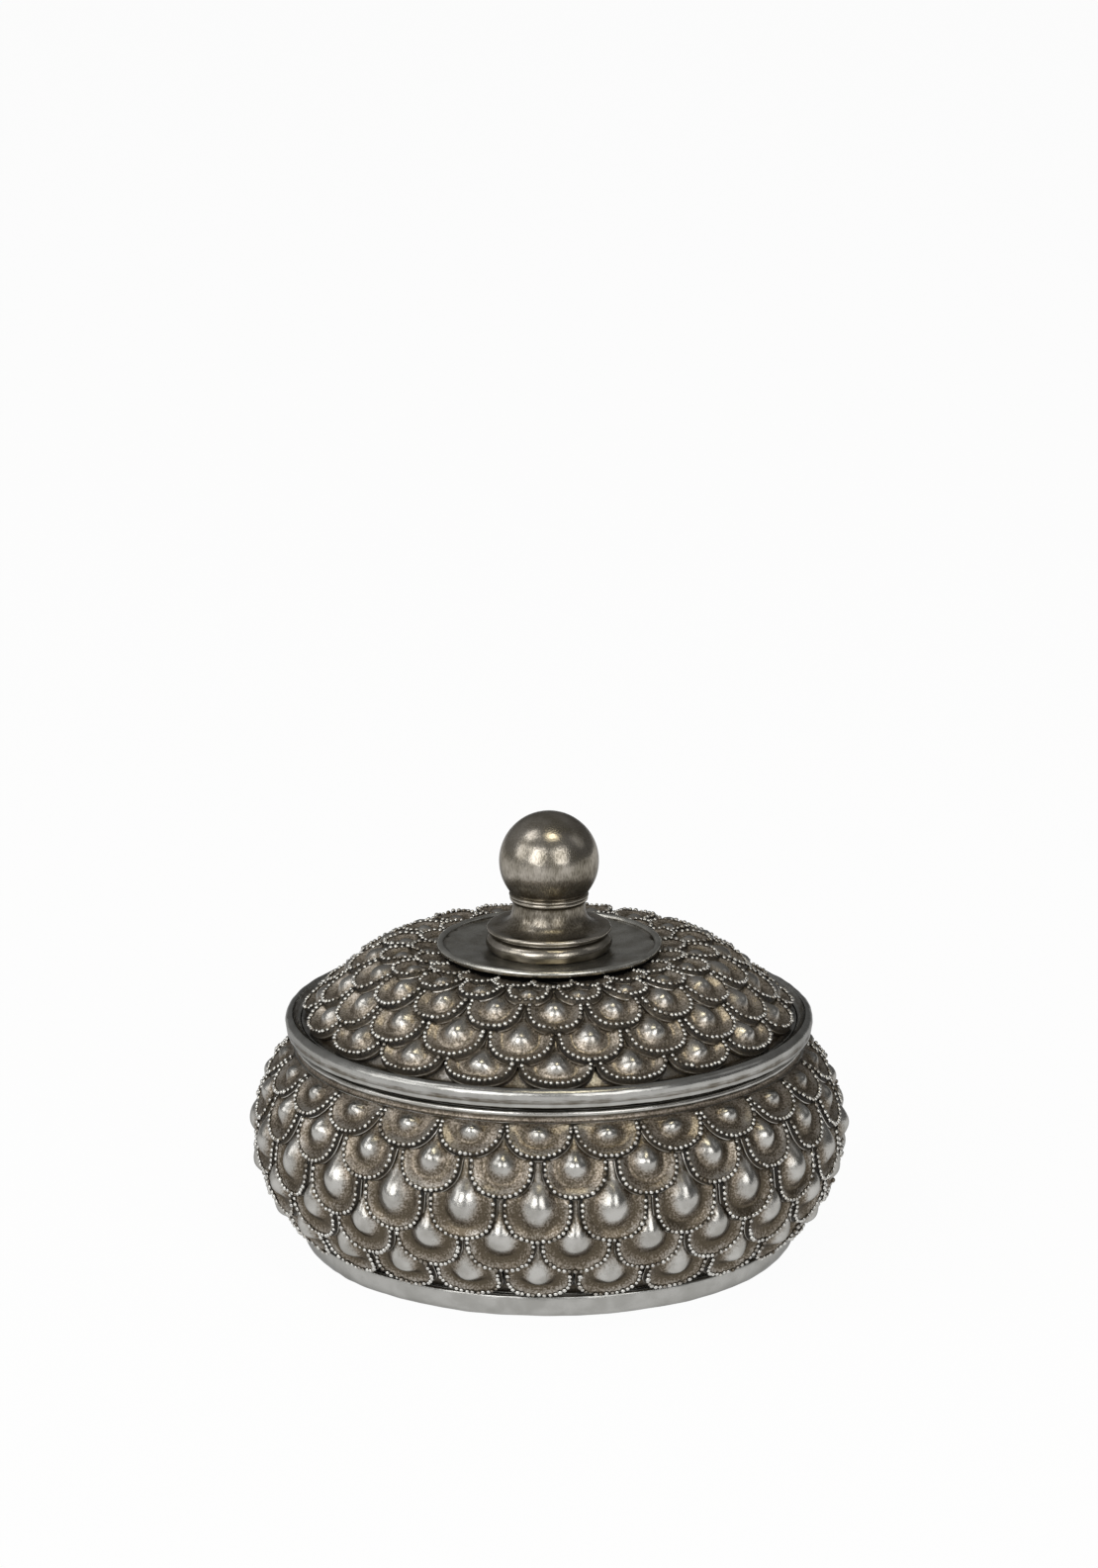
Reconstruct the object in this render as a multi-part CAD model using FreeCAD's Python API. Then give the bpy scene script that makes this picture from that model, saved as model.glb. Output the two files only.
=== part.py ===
import FreeCAD, Part
import math
import os
from FreeCAD import Vector

# Round trinket box: a squat bowl and a lift-off lid, both clad in rows of overlapping beaded scales,
# with a ball knob standing in a small dish. Millimetres, +Z up, the origin at the middle of the underside.

# Felt under the foot
FELT_THICKNESS = 1.2
FELT_PROUD = 0.3
FELT_MARGIN = 2.5
FELT_CLEARANCE = 0.2

# Foot ring
FOOT_HEIGHT = 5.7
FOOT_WIDTH = 9.0
FOOT_OVERHANG = 1.5
FOOT_TAPER = 2.4
FOOT_BULGE = 0.4

# Bowl: the wall's outline is one arc, its angles counted from the belly, the widest point
BELLY_RADIUS = 72.4
WALL_CURVE_RADIUS = 30.0
WALL_TOP_ANGLE = 44.4
WALL_FOOT_ANGLE = 51.5
BOWL_WALL = 5.0
BOWL_FLOOR = 4.0

# Mouth ring on top of the wall
MOUTH_HEIGHT = 3.05
MOUTH_LAND = 5.3
MOUTH_BEAD_RADIUS = 0.85
MOUTH_NECK_DEPTH = 0.5

# Lid: a flange that seats on the mouth ring, and a dome with a flat top, a shoulder of one arc
# and a straight skirt
LID_FLANGE = 4.35
LID_LAND = 2.5
TROUGH_WIDTH = 1.6
DOME_CURVE_RADIUS = 20.0
DOME_SLOPE_ANGLE = 42.0
DOME_SKIRT = 16.81
DOME_WALL = 4.0

# Rim ring round the lid's edge
RIM_OVERHANG = 2.0
RIM_WIDTH = 3.9
RIM_HEIGHT = 4.6
RIM_LIFT = 1.25
RIM_DRAFT = 0.5
RIM_CREST_RADIUS = 1.7
RIM_COVE_DEPTH = 0.35

# Locating ring under the lid, which drops into the mouth
LOCATING_DEPTH = 5.0
LOCATING_WIDTH = 2.8
LOCATING_TENON = 1.5
LOCATING_CHAMFER = 0.8
LID_CLEARANCE = 0.5

# Knob dish
DISH_RADIUS = 28.0
DISH_BASE_RADIUS = 21.0
DISH_FLOOR = 1.1
DISH_FLOOR_RADIUS = 16.5
DISH_LIP_RADIUS = 0.9
DISH_LIP_HEIGHT = 3.2
DISH_SAG = 0.25
DISH_CLEARANCE = 0.3

# Knob ring, the plinth in the dish
RING_RADIUS = 15.7
RING_FOOT_RADIUS = 15.0
RING_HEIGHT = 4.7
RING_GROOVE_DEPTH = 0.9
RING_GROOVE_HEIGHT = 0.6

# Knob stem: flange, hollow-sided neck and collar
FLANGE_RADIUS = 15.6
FLANGE_THICKNESS = 1.3
NECK_FOOT_RADIUS = 14.2
NECK_RADIUS = 9.0
NECK_HEIGHT = 6.6
NECK_HOLLOW = 1.7
COLLAR_RADIUS = 10.0
COLLAR_HEIGHT = 1.9

# Knob ball
BALL_RADIUS = 12.4
BALL_SEAT_RADIUS = 9.4

# Screw that clamps the knob to the lid from below, and its washer
SCREW_RADIUS = 2.5
SCREW_CLEARANCE = 0.25
TAP_CLEARANCE = 0.05
TAP_DEPTH = 9.0
TAP_RUNOUT = 1.0
SCREW_CHAMFER = 0.6
SCREW_HEAD_RADIUS = 4.6
SCREW_HEAD_HEIGHT = 2.8
SCREW_SLOT_WIDTH = 1.2
SCREW_SLOT_DEPTH = 1.3
WASHER_RADIUS = 8.0
WASHER_THICKNESS = 1.2

# Scales: flat field, beaded border and a drop-shaped boss. A scale hangs from the row above it.
BEADING_WIDTH = 1.3
BEADING_RISE = 0.9
SCALE_GLUE_LINE = 0.1
SCALE_GAP = 0.15
BOSS_MARGIN = 0.8
BOWL_SCALES = 25
BOWL_PHASE_ANGLE = -2.1
LID_SCALES = 19
LID_PHASE_ANGLE = 1.85

# How thick a scale's field is, per row from the top
BOWL_ROW_THICKNESSES = (0.8, 0.8, 0.8, 0.8, 0.8)
LID_ROW_THICKNESSES = (0.6, 1.1, 1.4, 1.5, 1.5)

# Space between neighbouring scales, per row from the top
BOWL_ROW_SPACES = (0.5, 2.3, 1.7, 0.8, 0.8)
LID_ROW_SPACES = (1.0, 2.0, 1.6, 1.5, 1.8)

# Per row, from the top: where the row ends as a share of the contour's length, under 0 on the flat above it,
# how deep the scale's tip is and how wide its boss is, if any, as shares of the scale's half width, and how
# far the boss's point reaches as a share of its ball, over 1 where it has one
BOWL_ROW_END_SHARES = (0.186, 0.369, 0.582, 0.753, 0.94)
BOWL_TIP_SHARES = (0.95, 0.95, 0.95, 0.95, 0.8)
BOWL_BOSS_SHARES = (0.26, 0.32, 0.40, 0.38, 0.36)
BOWL_POINT_SHARES = (1.4, 2.6, 2.6, 2.6, 2.8)
LID_ROW_END_SHARES = (-0.005, 0.247, 0.518, 0.805, 0.995)
LID_TIP_SHARES = (0.85, 0.9, 0.85, 0.85, 0.65)
LID_BOSS_SHARES = (0, 0.24, 0.30, 0.30, 0.30)
LID_POINT_SHARES = (1, 1, 2.6, 2.6, 2.4)
BOSS_RISE_SHARE = 0.66
BOSS_CONE_SHARE = 0.92

# Gap between fixed pieces with curved seats, and how far cutting shapes run past what they cut
SEAT_GAP = 0.1
CUT_OVERRUN = 12.0

# How many scales' width of a layer is made to cut one scale out of
LAYER_PITCHES = 3

FULL_TURN = 360.0
HALF_TURN = 180.0
QUARTER_TURN = 90.0
FRONT_AZIMUTH = -90.0
ORIGIN = Vector(0, 0, 0)
UP = Vector(0, 0, 1)


def cosine(angle):
    return math.cos(math.radians(angle))


def sine(angle):
    return math.sin(math.radians(angle))


# Heights and radii that follow from the sizes above
foot_bottom = FELT_PROUD
wall_bottom = foot_bottom + FOOT_HEIGHT
belly_height = wall_bottom + WALL_CURVE_RADIUS * sine(WALL_FOOT_ANGLE)
wall_centre_radius = BELLY_RADIUS - WALL_CURVE_RADIUS
wall_foot_radius = wall_centre_radius + WALL_CURVE_RADIUS * cosine(WALL_FOOT_ANGLE)
wall_top = belly_height + WALL_CURVE_RADIUS * sine(WALL_TOP_ANGLE)
wall_top_radius = wall_centre_radius + WALL_CURVE_RADIUS * cosine(WALL_TOP_ANGLE)
foot_top_radius = wall_foot_radius + FOOT_OVERHANG
foot_base_radius = foot_top_radius - FOOT_TAPER
foot_bore = foot_base_radius - FOOT_WIDTH
felt_radius = foot_base_radius - FELT_MARGIN
mouth_top = wall_top + MOUTH_HEIGHT
mouth_bore = wall_top_radius - MOUTH_LAND
rim_outer = wall_top_radius + RIM_OVERHANG
rim_bore = rim_outer - RIM_WIDTH
lid_edge = rim_bore - SEAT_GAP
trough_height = mouth_top + LID_FLANGE
dome_foot_radius = lid_edge - TROUGH_WIDTH
dome_shoulder_radius = dome_foot_radius - DOME_SKIRT * cosine(DOME_SLOPE_ANGLE)
dome_shoulder_height = trough_height + DOME_SKIRT * sine(DOME_SLOPE_ANGLE)
dome_flat_radius = dome_shoulder_radius - DOME_CURVE_RADIUS * sine(DOME_SLOPE_ANGLE)
dome_centre_height = dome_shoulder_height - DOME_CURVE_RADIUS * cosine(DOME_SLOPE_ANGLE)
dome_top = dome_centre_height + DOME_CURVE_RADIUS
dome_underside = dome_top - DOME_WALL
locating_outer = mouth_bore - LID_CLEARANCE
locating_bore = locating_outer - LOCATING_WIDTH
locating_top = mouth_top + LOCATING_TENON
dish_floor_height = dome_top + DISH_FLOOR
ring_top = dish_floor_height + RING_HEIGHT
flange_top = ring_top + FLANGE_THICKNESS
collar_bottom = flange_top + NECK_HEIGHT
ball_seat = collar_bottom + COLLAR_HEIGHT
ball_centre = ball_seat + math.sqrt(BALL_RADIUS**2 - BALL_SEAT_RADIUS**2)
screw_hole = SCREW_RADIUS + SCREW_CLEARANCE
washer_bottom = dome_underside - WASHER_THICKNESS
screw_tip = ball_seat + TAP_DEPTH


def at(radius, height):
    """A point of a turned outline."""
    return Vector(radius, 0, height)


def middle(a, b):
    return (a + b) / 2


def turned(*outline):
    """The solid that a closed outline sweeps round the Z axis. An entry is a point that a straight edge
    runs to, or a pair for an arc: a point on the way and the end."""
    edges = []
    here = outline[0]
    for step in (*outline[1:], outline[0]):
        if isinstance(step, tuple):
            way, end = step
            edges.append(Part.Arc(here, way, end).toShape())
        else:
            end = step
            edges.append(Part.LineSegment(here, end).toShape())
        here = end
    return Part.Face(Part.Wire(edges)).revolve(ORIGIN, UP, FULL_TURN)


def on_circle(centre, radius, angle):
    """The point of a circle in the outline's plane at an angle above the horizontal."""
    return centre + Vector(radius * cosine(angle), 0, radius * sine(angle))


# Bowl
def base_felt():
    return Part.makeCylinder(felt_radius, FELT_THICKNESS)


def foot_ring():
    felt_seat = FELT_THICKNESS
    rebate = felt_radius + FELT_CLEARANCE
    low, high = at(foot_base_radius, foot_bottom), at(foot_top_radius, wall_bottom)
    return turned(
        at(foot_bore, wall_bottom),
        high,
        (middle(low, high) + Vector(FOOT_BULGE, 0, 0), low),
        at(rebate, foot_bottom),
        at(rebate, felt_seat),
        at(foot_bore, felt_seat),
    )


def bowl_shell():
    centre = at(wall_centre_radius, belly_height)
    inner_radius = WALL_CURVE_RADIUS - BOWL_WALL
    floor_top = wall_bottom + BOWL_FLOOR
    neck = belly_height + math.sqrt(inner_radius**2 - (mouth_bore - wall_centre_radius) ** 2)
    floor_reach = math.sqrt(inner_radius**2 - (belly_height - floor_top) ** 2)
    return turned(
        at(0, wall_bottom),
        at(wall_foot_radius, wall_bottom),
        (on_circle(centre, WALL_CURVE_RADIUS, 0), at(wall_top_radius, wall_top)),
        at(mouth_bore, wall_top),
        at(mouth_bore, neck),
        (on_circle(centre, inner_radius, 0), at(wall_centre_radius + floor_reach, floor_top)),
        at(0, floor_top),
    )


def mouth_ring():
    bead_bottom = mouth_top - MOUTH_BEAD_RADIUS - MOUTH_BEAD_RADIUS
    bead_centre = at(wall_top_radius - MOUTH_BEAD_RADIUS, mouth_top - MOUTH_BEAD_RADIUS)
    bead_top = on_circle(bead_centre, MOUTH_BEAD_RADIUS, QUARTER_TURN)
    low, high = at(wall_top_radius, wall_top), at(wall_top_radius - MOUTH_BEAD_RADIUS, bead_bottom)
    return turned(
        at(mouth_bore, wall_top),
        low,
        (middle(low, high) - Vector(MOUTH_NECK_DEPTH, 0, 0), high),
        (on_circle(bead_centre, MOUTH_BEAD_RADIUS, 0), bead_top),
        at(mouth_bore, mouth_top),
    )


# Lid
def lid_shell():
    centre = at(dome_flat_radius, dome_centre_height)
    inner_radius = DOME_CURVE_RADIUS - DOME_WALL
    way_angle = QUARTER_TURN - DOME_SLOPE_ANGLE / 2
    inner_shoulder = on_circle(centre, inner_radius, QUARTER_TURN - DOME_SLOPE_ANGLE)
    groove_bore, groove_outer = locating_bore - SEAT_GAP, locating_outer + SEAT_GAP
    lid_bore = groove_bore - LID_LAND
    inner_drop = (lid_bore - inner_shoulder.x) * sine(DOME_SLOPE_ANGLE) / cosine(DOME_SLOPE_ANGLE)
    return turned(
        at(screw_hole, dome_top),
        at(dome_flat_radius, dome_top),
        (on_circle(centre, DOME_CURVE_RADIUS, way_angle), at(dome_shoulder_radius, dome_shoulder_height)),
        at(dome_foot_radius, trough_height),
        at(lid_edge, trough_height),
        at(lid_edge, mouth_top),
        at(groove_outer, mouth_top),
        at(groove_outer, locating_top),
        at(groove_bore, locating_top),
        at(groove_bore, mouth_top),
        at(lid_bore, mouth_top),
        at(lid_bore, inner_shoulder.z - inner_drop),
        inner_shoulder,
        (on_circle(centre, inner_radius, way_angle), at(dome_flat_radius, dome_underside)),
        at(screw_hole, dome_underside),
    )


def lid_rim():
    bottom = mouth_top + RIM_LIFT
    crest = bottom + RIM_HEIGHT
    crest_centre = at(rim_outer - RIM_CREST_RADIUS, crest - RIM_CREST_RADIUS)
    crest_top = on_circle(crest_centre, RIM_CREST_RADIUS, QUARTER_TURN)
    trough_edge = at(rim_bore, trough_height)
    cove = middle(crest_top, trough_edge) + Vector(RIM_COVE_DEPTH, 0, -RIM_COVE_DEPTH)
    return turned(
        at(rim_bore, bottom),
        at(rim_outer - RIM_DRAFT, bottom),
        at(rim_outer, crest - RIM_CREST_RADIUS),
        (on_circle(crest_centre, RIM_CREST_RADIUS, QUARTER_TURN / 2), crest_top),
        (cove, trough_edge),
    )


def lid_locating_ring():
    bottom = mouth_top - LOCATING_DEPTH
    return turned(
        at(locating_bore, bottom),
        at(locating_outer - LOCATING_CHAMFER, bottom),
        at(locating_outer, bottom + LOCATING_CHAMFER),
        at(locating_outer, locating_top),
        at(locating_bore, locating_top),
    )


# Knob
def knob_dish():
    lip_centre = at(DISH_RADIUS - DISH_LIP_RADIUS, dome_top + DISH_LIP_HEIGHT - DISH_LIP_RADIUS)
    lip_inside = on_circle(lip_centre, DISH_LIP_RADIUS, HALF_TURN)
    floor_edge = at(DISH_FLOOR_RADIUS, dish_floor_height)
    return turned(
        at(screw_hole, dome_top),
        at(DISH_BASE_RADIUS, dome_top),
        on_circle(lip_centre, DISH_LIP_RADIUS, -QUARTER_TURN),
        (on_circle(lip_centre, DISH_LIP_RADIUS, 0), on_circle(lip_centre, DISH_LIP_RADIUS, QUARTER_TURN)),
        (on_circle(lip_centre, DISH_LIP_RADIUS, QUARTER_TURN + QUARTER_TURN / 2), lip_inside),
        (middle(lip_inside, floor_edge) - Vector(0, 0, DISH_SAG), floor_edge),
        at(screw_hole, dish_floor_height),
    )


def knob_ring():
    groove_radius = RING_FOOT_RADIUS - RING_GROOVE_DEPTH
    groove_bottom = ring_top - RING_GROOVE_HEIGHT
    bulge = at(RING_RADIUS, (dish_floor_height + groove_bottom) / 2)
    return turned(
        at(screw_hole, dish_floor_height),
        at(RING_FOOT_RADIUS, dish_floor_height),
        (bulge, at(groove_radius, groove_bottom)),
        at(groove_radius, ring_top),
        at(screw_hole, ring_top),
    )


def knob_stem():
    edge_radius = FLANGE_THICKNESS / 2
    edge_centre = at(FLANGE_RADIUS - edge_radius, ring_top + edge_radius)
    neck_foot, neck_top = at(NECK_FOOT_RADIUS, flange_top), at(NECK_RADIUS, collar_bottom)
    neck_way = middle(neck_foot, neck_top) - Vector(NECK_HOLLOW, 0, NECK_HOLLOW)
    return turned(
        at(screw_hole, ring_top),
        on_circle(edge_centre, edge_radius, -QUARTER_TURN),
        (on_circle(edge_centre, edge_radius, 0), on_circle(edge_centre, edge_radius, QUARTER_TURN)),
        neck_foot,
        (neck_way, neck_top),
        (at(COLLAR_RADIUS, (collar_bottom + ball_seat) / 2), at(BALL_SEAT_RADIUS, ball_seat)),
        at(screw_hole, ball_seat),
    )


def knob_ball():
    tap_radius = SCREW_RADIUS + TAP_CLEARANCE
    tap_end = screw_tip + TAP_RUNOUT
    centre = at(0, ball_centre)
    return turned(
        at(tap_radius, ball_seat),
        at(BALL_SEAT_RADIUS, ball_seat),
        (on_circle(centre, BALL_RADIUS, 0), on_circle(centre, BALL_RADIUS, QUARTER_TURN)),
        at(0, tap_end),
        at(tap_radius, tap_end),
    )


def knob_screw():
    head_bottom = washer_bottom - SCREW_HEAD_HEIGHT
    body = turned(
        at(0, head_bottom),
        at(SCREW_HEAD_RADIUS - SCREW_CHAMFER, head_bottom),
        at(SCREW_HEAD_RADIUS, head_bottom + SCREW_CHAMFER),
        at(SCREW_HEAD_RADIUS, washer_bottom),
        at(SCREW_RADIUS, washer_bottom),
        at(SCREW_RADIUS, screw_tip - SCREW_CHAMFER),
        at(SCREW_RADIUS - SCREW_CHAMFER, screw_tip),
        at(0, screw_tip),
    )
    slot_length = SCREW_HEAD_RADIUS
    for turn in (0, QUARTER_TURN):
        slot = Part.makeBox(slot_length, SCREW_SLOT_WIDTH, CUT_OVERRUN + SCREW_SLOT_DEPTH)
        slot.translate(Vector(-slot_length / 2, -SCREW_SLOT_WIDTH / 2, head_bottom - CUT_OVERRUN))
        slot.rotate(ORIGIN, UP, turn)
        body = body.cut(slot)
    return body


def knob_washer():
    return turned(
        at(screw_hole, washer_bottom),
        at(WASHER_RADIUS, washer_bottom),
        at(WASHER_RADIUS, dome_underside),
        at(screw_hole, dome_underside),
    )


# Scales
class Contour:
    """The outline that rows of scales follow: an arc that falls away from its top, after an optional flat and
    before an optional straight skirt. A place on it is a run, the length along it below the start of the arc,
    less than 0 on the flat."""

    def __init__(self, centre, radius, top_angle, sweep_angle, flat_from=None, skirt=0):
        self.centre = centre
        self.radius = radius
        self.top_angle = top_angle
        self.sweep_angle = sweep_angle
        self.flat_from = flat_from
        self.skirt = skirt
        self.arc_length = radius * math.radians(sweep_angle)
        self.length = self.arc_length + skirt

    def angle(self, run):
        along_arc = min(max(run, 0), self.arc_length)
        return self.top_angle - math.degrees(along_arc / self.radius)

    def down_wall(self, run):
        angle = self.angle(run)
        return Vector(sine(angle), 0, -cosine(angle))

    def point(self, run):
        past_arc = min(run, 0) + max(run - self.arc_length, 0)
        return on_circle(self.centre, self.radius, self.angle(run)) + self.down_wall(run) * past_arc

    def band(self, bottom, top, turn, on_flat):
        """A turn's worth of the layer between two heights above the flat, or else above the arc."""
        low, high = self.radius + bottom, self.radius + top
        down_skirt = ORIGIN
        if on_flat:
            inner = [at(radius, self.centre.z + low) for radius in (self.flat_from, self.centre.x)]
            outer = [at(radius, self.centre.z + high) for radius in (self.centre.x, self.flat_from)]
            edges = [Part.LineSegment(*inner), Part.LineSegment(*outer)]
        else:
            angles = [self.top_angle - self.sweep_angle * share for share in (0, 1 / 2, 1)]
            inner = [on_circle(self.centre, low, angle) for angle in angles]
            outer = [on_circle(self.centre, high, angle) for angle in reversed(angles)]
            edges = [Part.Arc(*inner), Part.Arc(*outer)]
            down_skirt = self.down_wall(self.length) * self.skirt
        corners = [inner[-1], inner[-1] + down_skirt, outer[0] + down_skirt, outer[0]]
        foot = [Part.LineSegment(a, b) for a, b in zip(corners, corners[1:]) if a != b]
        top = Part.LineSegment(outer[-1], inner[0])
        outline = Part.Wire([edge.toShape() for edge in (edges[0], *foot, edges[1], top)])
        layer = Part.Face(outline).revolve(ORIGIN, UP, turn)
        layer.rotate(ORIGIN, UP, -turn / 2)
        return layer


class Row:
    """One row of scales on a contour: where a scale's tip is centred, and how wide and deep it is."""

    def __init__(self, contour, count, space, end, end_above, end_two_above, sizes):
        self.thickness, tip_share, boss_share, self.point_share = sizes
        self.contour = contour
        self.on_flat = end < 0
        self.pitch = FULL_TURN / count
        middle_radius = contour.point((end + end_above) / 2).x
        self.half_width = middle_radius * math.radians(self.pitch) / 2 - space / 2
        self.depth = self.half_width * tip_share
        self.run = end - contour.radius * math.asin(self.depth / contour.radius)
        self.rise = self.run - end_two_above + self.half_width
        self.boss_radius = self.half_width * boss_share

    def place(self, shape, run):
        """Moves a shape from its own frame, X along the row, Y up the wall and Z out of it, to a run."""
        angle = self.contour.angle(run)
        up_wall = -self.contour.down_wall(run)
        outward = Vector(cosine(angle), 0, sine(angle))
        turn = FreeCAD.Rotation(Vector(0, 1, 0), up_wall, outward, "ZXY")
        shape.Placement = FreeCAD.Placement(self.contour.point(run), turn).multiply(shape.Placement)
        return shape

    def shield(self, inset=0):
        """The scale's outline, a U drawn in by an inset, as a prism square to the wall."""
        side, tip = self.half_width - inset, self.depth - inset
        if side > tip:
            curve = Part.Ellipse(ORIGIN, side, tip)
            bottom = Part.ArcOfEllipse(curve, math.pi, 2 * math.pi).toShape()
        else:
            bottom = Part.Arc(Vector(-side, 0, 0), Vector(0, -tip, 0), Vector(side, 0, 0)).toShape()
        right, left, rise = Vector(side, 0, 0), Vector(-side, 0, 0), Vector(0, self.rise, 0)
        corners = [right, right + rise, left + rise, left]
        sides = [Part.LineSegment(a, b).toShape() for a, b in zip(corners, corners[1:])]
        prism = Part.Face(Part.Wire([bottom, *sides])).extrude(Vector(0, 0, 2 * CUT_OVERRUN))
        prism.translate(Vector(0, 0, -CUT_OVERRUN))
        return self.place(prism, self.run)

    def boss(self):
        """The drop-shaped boss: a ball drawn out to a point up the wall, sunk into the field."""
        rise = self.boss_radius * BOSS_RISE_SHARE
        ball_radius = (self.boss_radius**2 + rise**2) / (2 * rise)
        drop = Part.makeSphere(ball_radius)
        if self.point_share > 1:
            point = Part.makeCone(ball_radius * BOSS_CONE_SHARE, 0, ball_radius * self.point_share)
            point.rotate(ORIGIN, Vector(1, 0, 0), -QUARTER_TURN)
            point.rotate(ORIGIN, Vector(0, 1, 0), QUARTER_TURN)
            drop = drop.fuse(point)
        drop.translate(Vector(0, 0, SCALE_GLUE_LINE + self.thickness + rise - ball_radius))
        lowest_run = self.run + self.depth - BEADING_WIDTH - BOSS_MARGIN
        return self.place(drop, lowest_run - self.boss_radius)


def row_of_scales(row, rows_above):
    """One scale and its beaded border, both cut clear of the rows that hang over them."""

    def layer(height):
        top = SCALE_GLUE_LINE + height
        return row.contour.band(SCALE_GLUE_LINE, top, LAYER_PITCHES * row.pitch, row.on_flat)

    overhang = []
    for steps, above in enumerate(rows_above, start=1):
        cover = above.shield(-SCALE_GAP)
        sides = (-1, 1) if steps % 2 else (0,)
        for side in sides:
            overhang.append(cover.copy())
            overhang[-1].rotate(ORIGIN, UP, side * row.pitch / 2)
    scale = layer(row.thickness).common(row.shield(BEADING_WIDTH + SCALE_GAP))
    if row.boss_radius:
        scale = scale.fuse(row.boss().common(layer(CUT_OVERRUN)))
    border = row.shield().cut(row.shield(BEADING_WIDTH))
    beading = layer(row.thickness + BEADING_RISE).common(border)
    clear = [shape.cut(overhang) if overhang else shape for shape in (scale, beading)]
    return [max(shape.Solids, key=lambda solid: solid.Volume) for shape in clear]


def rows_on(contour, count, spaces, end_shares, *scale_sizes):
    ends = [share * contour.length for share in end_shares]
    rows = []
    for i, (space, *sizes) in enumerate(zip(spaces, *scale_sizes)):
        end_above = ends[i - 1] if i else min(0, ends[0])
        end_two_above = ends[i - 2] if i > 1 else min(0, ends[0])
        rows.append(Row(contour, count, space, ends[i], end_above, end_two_above, sizes))
    return rows


def ring_of(solid, count, first_azimuth):
    """Copies of a solid, evenly spaced round the box."""
    copies = []
    for i in range(count):
        copies.append(solid.copy())
        copies[-1].rotate(ORIGIN, UP, first_azimuth + i * FULL_TURN / count)
    return Part.makeCompound(copies)


def clad(name, rows, count, phase):
    """The scale and beading nodes of one clad surface, by name. Every other row is half a step round."""
    nodes = {}
    for i, row in enumerate(rows):
        rows_above = [rows[j] for j in (i - 1, i - 2) if j >= 0]
        azimuth = FRONT_AZIMUTH + phase + (i % 2) * row.pitch / 2
        scale, beading = row_of_scales(row, rows_above)
        nodes[f"{name}_scales_row_{i + 1}"] = ring_of(scale, count, azimuth)
        nodes[f"{name}_beading_row_{i + 1}"] = ring_of(beading, count, azimuth)
    return nodes


def main():
    wall = Contour(
        at(wall_centre_radius, belly_height),
        WALL_CURVE_RADIUS,
        WALL_TOP_ANGLE,
        WALL_TOP_ANGLE + WALL_FOOT_ANGLE,
    )
    dome = Contour(
        at(dome_flat_radius, dome_centre_height),
        DOME_CURVE_RADIUS,
        QUARTER_TURN,
        DOME_SLOPE_ANGLE,
        DISH_RADIUS + DISH_CLEARANCE,
        DOME_SKIRT,
    )
    bowl_sizes = (BOWL_ROW_THICKNESSES, BOWL_TIP_SHARES, BOWL_BOSS_SHARES, BOWL_POINT_SHARES)
    lid_sizes = (LID_ROW_THICKNESSES, LID_TIP_SHARES, LID_BOSS_SHARES, LID_POINT_SHARES)
    bowl_rows = rows_on(wall, BOWL_SCALES, BOWL_ROW_SPACES, BOWL_ROW_END_SHARES, *bowl_sizes)
    lid_rows = rows_on(dome, LID_SCALES, LID_ROW_SPACES, LID_ROW_END_SHARES, *lid_sizes)
    pieces = (
        base_felt, foot_ring, bowl_shell, mouth_ring, lid_shell, lid_rim, lid_locating_ring,
        knob_dish, knob_ring, knob_stem, knob_ball, knob_screw, knob_washer,
    )
    nodes = {piece.__name__: piece() for piece in pieces}
    nodes |= clad("bowl", bowl_rows, BOWL_SCALES, BOWL_PHASE_ANGLE)
    nodes |= clad("lid", lid_rows, LID_SCALES, LID_PHASE_ANGLE)
    os.makedirs("parts", exist_ok=True)
    for name, shape in nodes.items():
        shape.exportStep(os.path.join("parts", name + ".step"))
        box = shape.BoundBox
        print(f"{name}: {len(shape.Solids)} solids, valid {shape.isValid()}, volume {shape.Volume:.1f} mm3, "
              f"radius {box.XMax:.2f}, height {box.ZMin:.2f} to {box.ZMax:.2f}")


main()
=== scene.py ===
# %% [markdown]
# # A round trinket box in antique silver
# The box is a squat bowl with a lift-off lid. Both are clad in rows of overlapping scales: each scale is a
# shallow dish with a raised drop in the middle and a border of beads. A ball knob stands in a small plate on
# the lid. The packed CAD model is the frame: it says where each piece sits and what moves. We load it first
# and keep its box.

# %% Load the frame
import math

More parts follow.
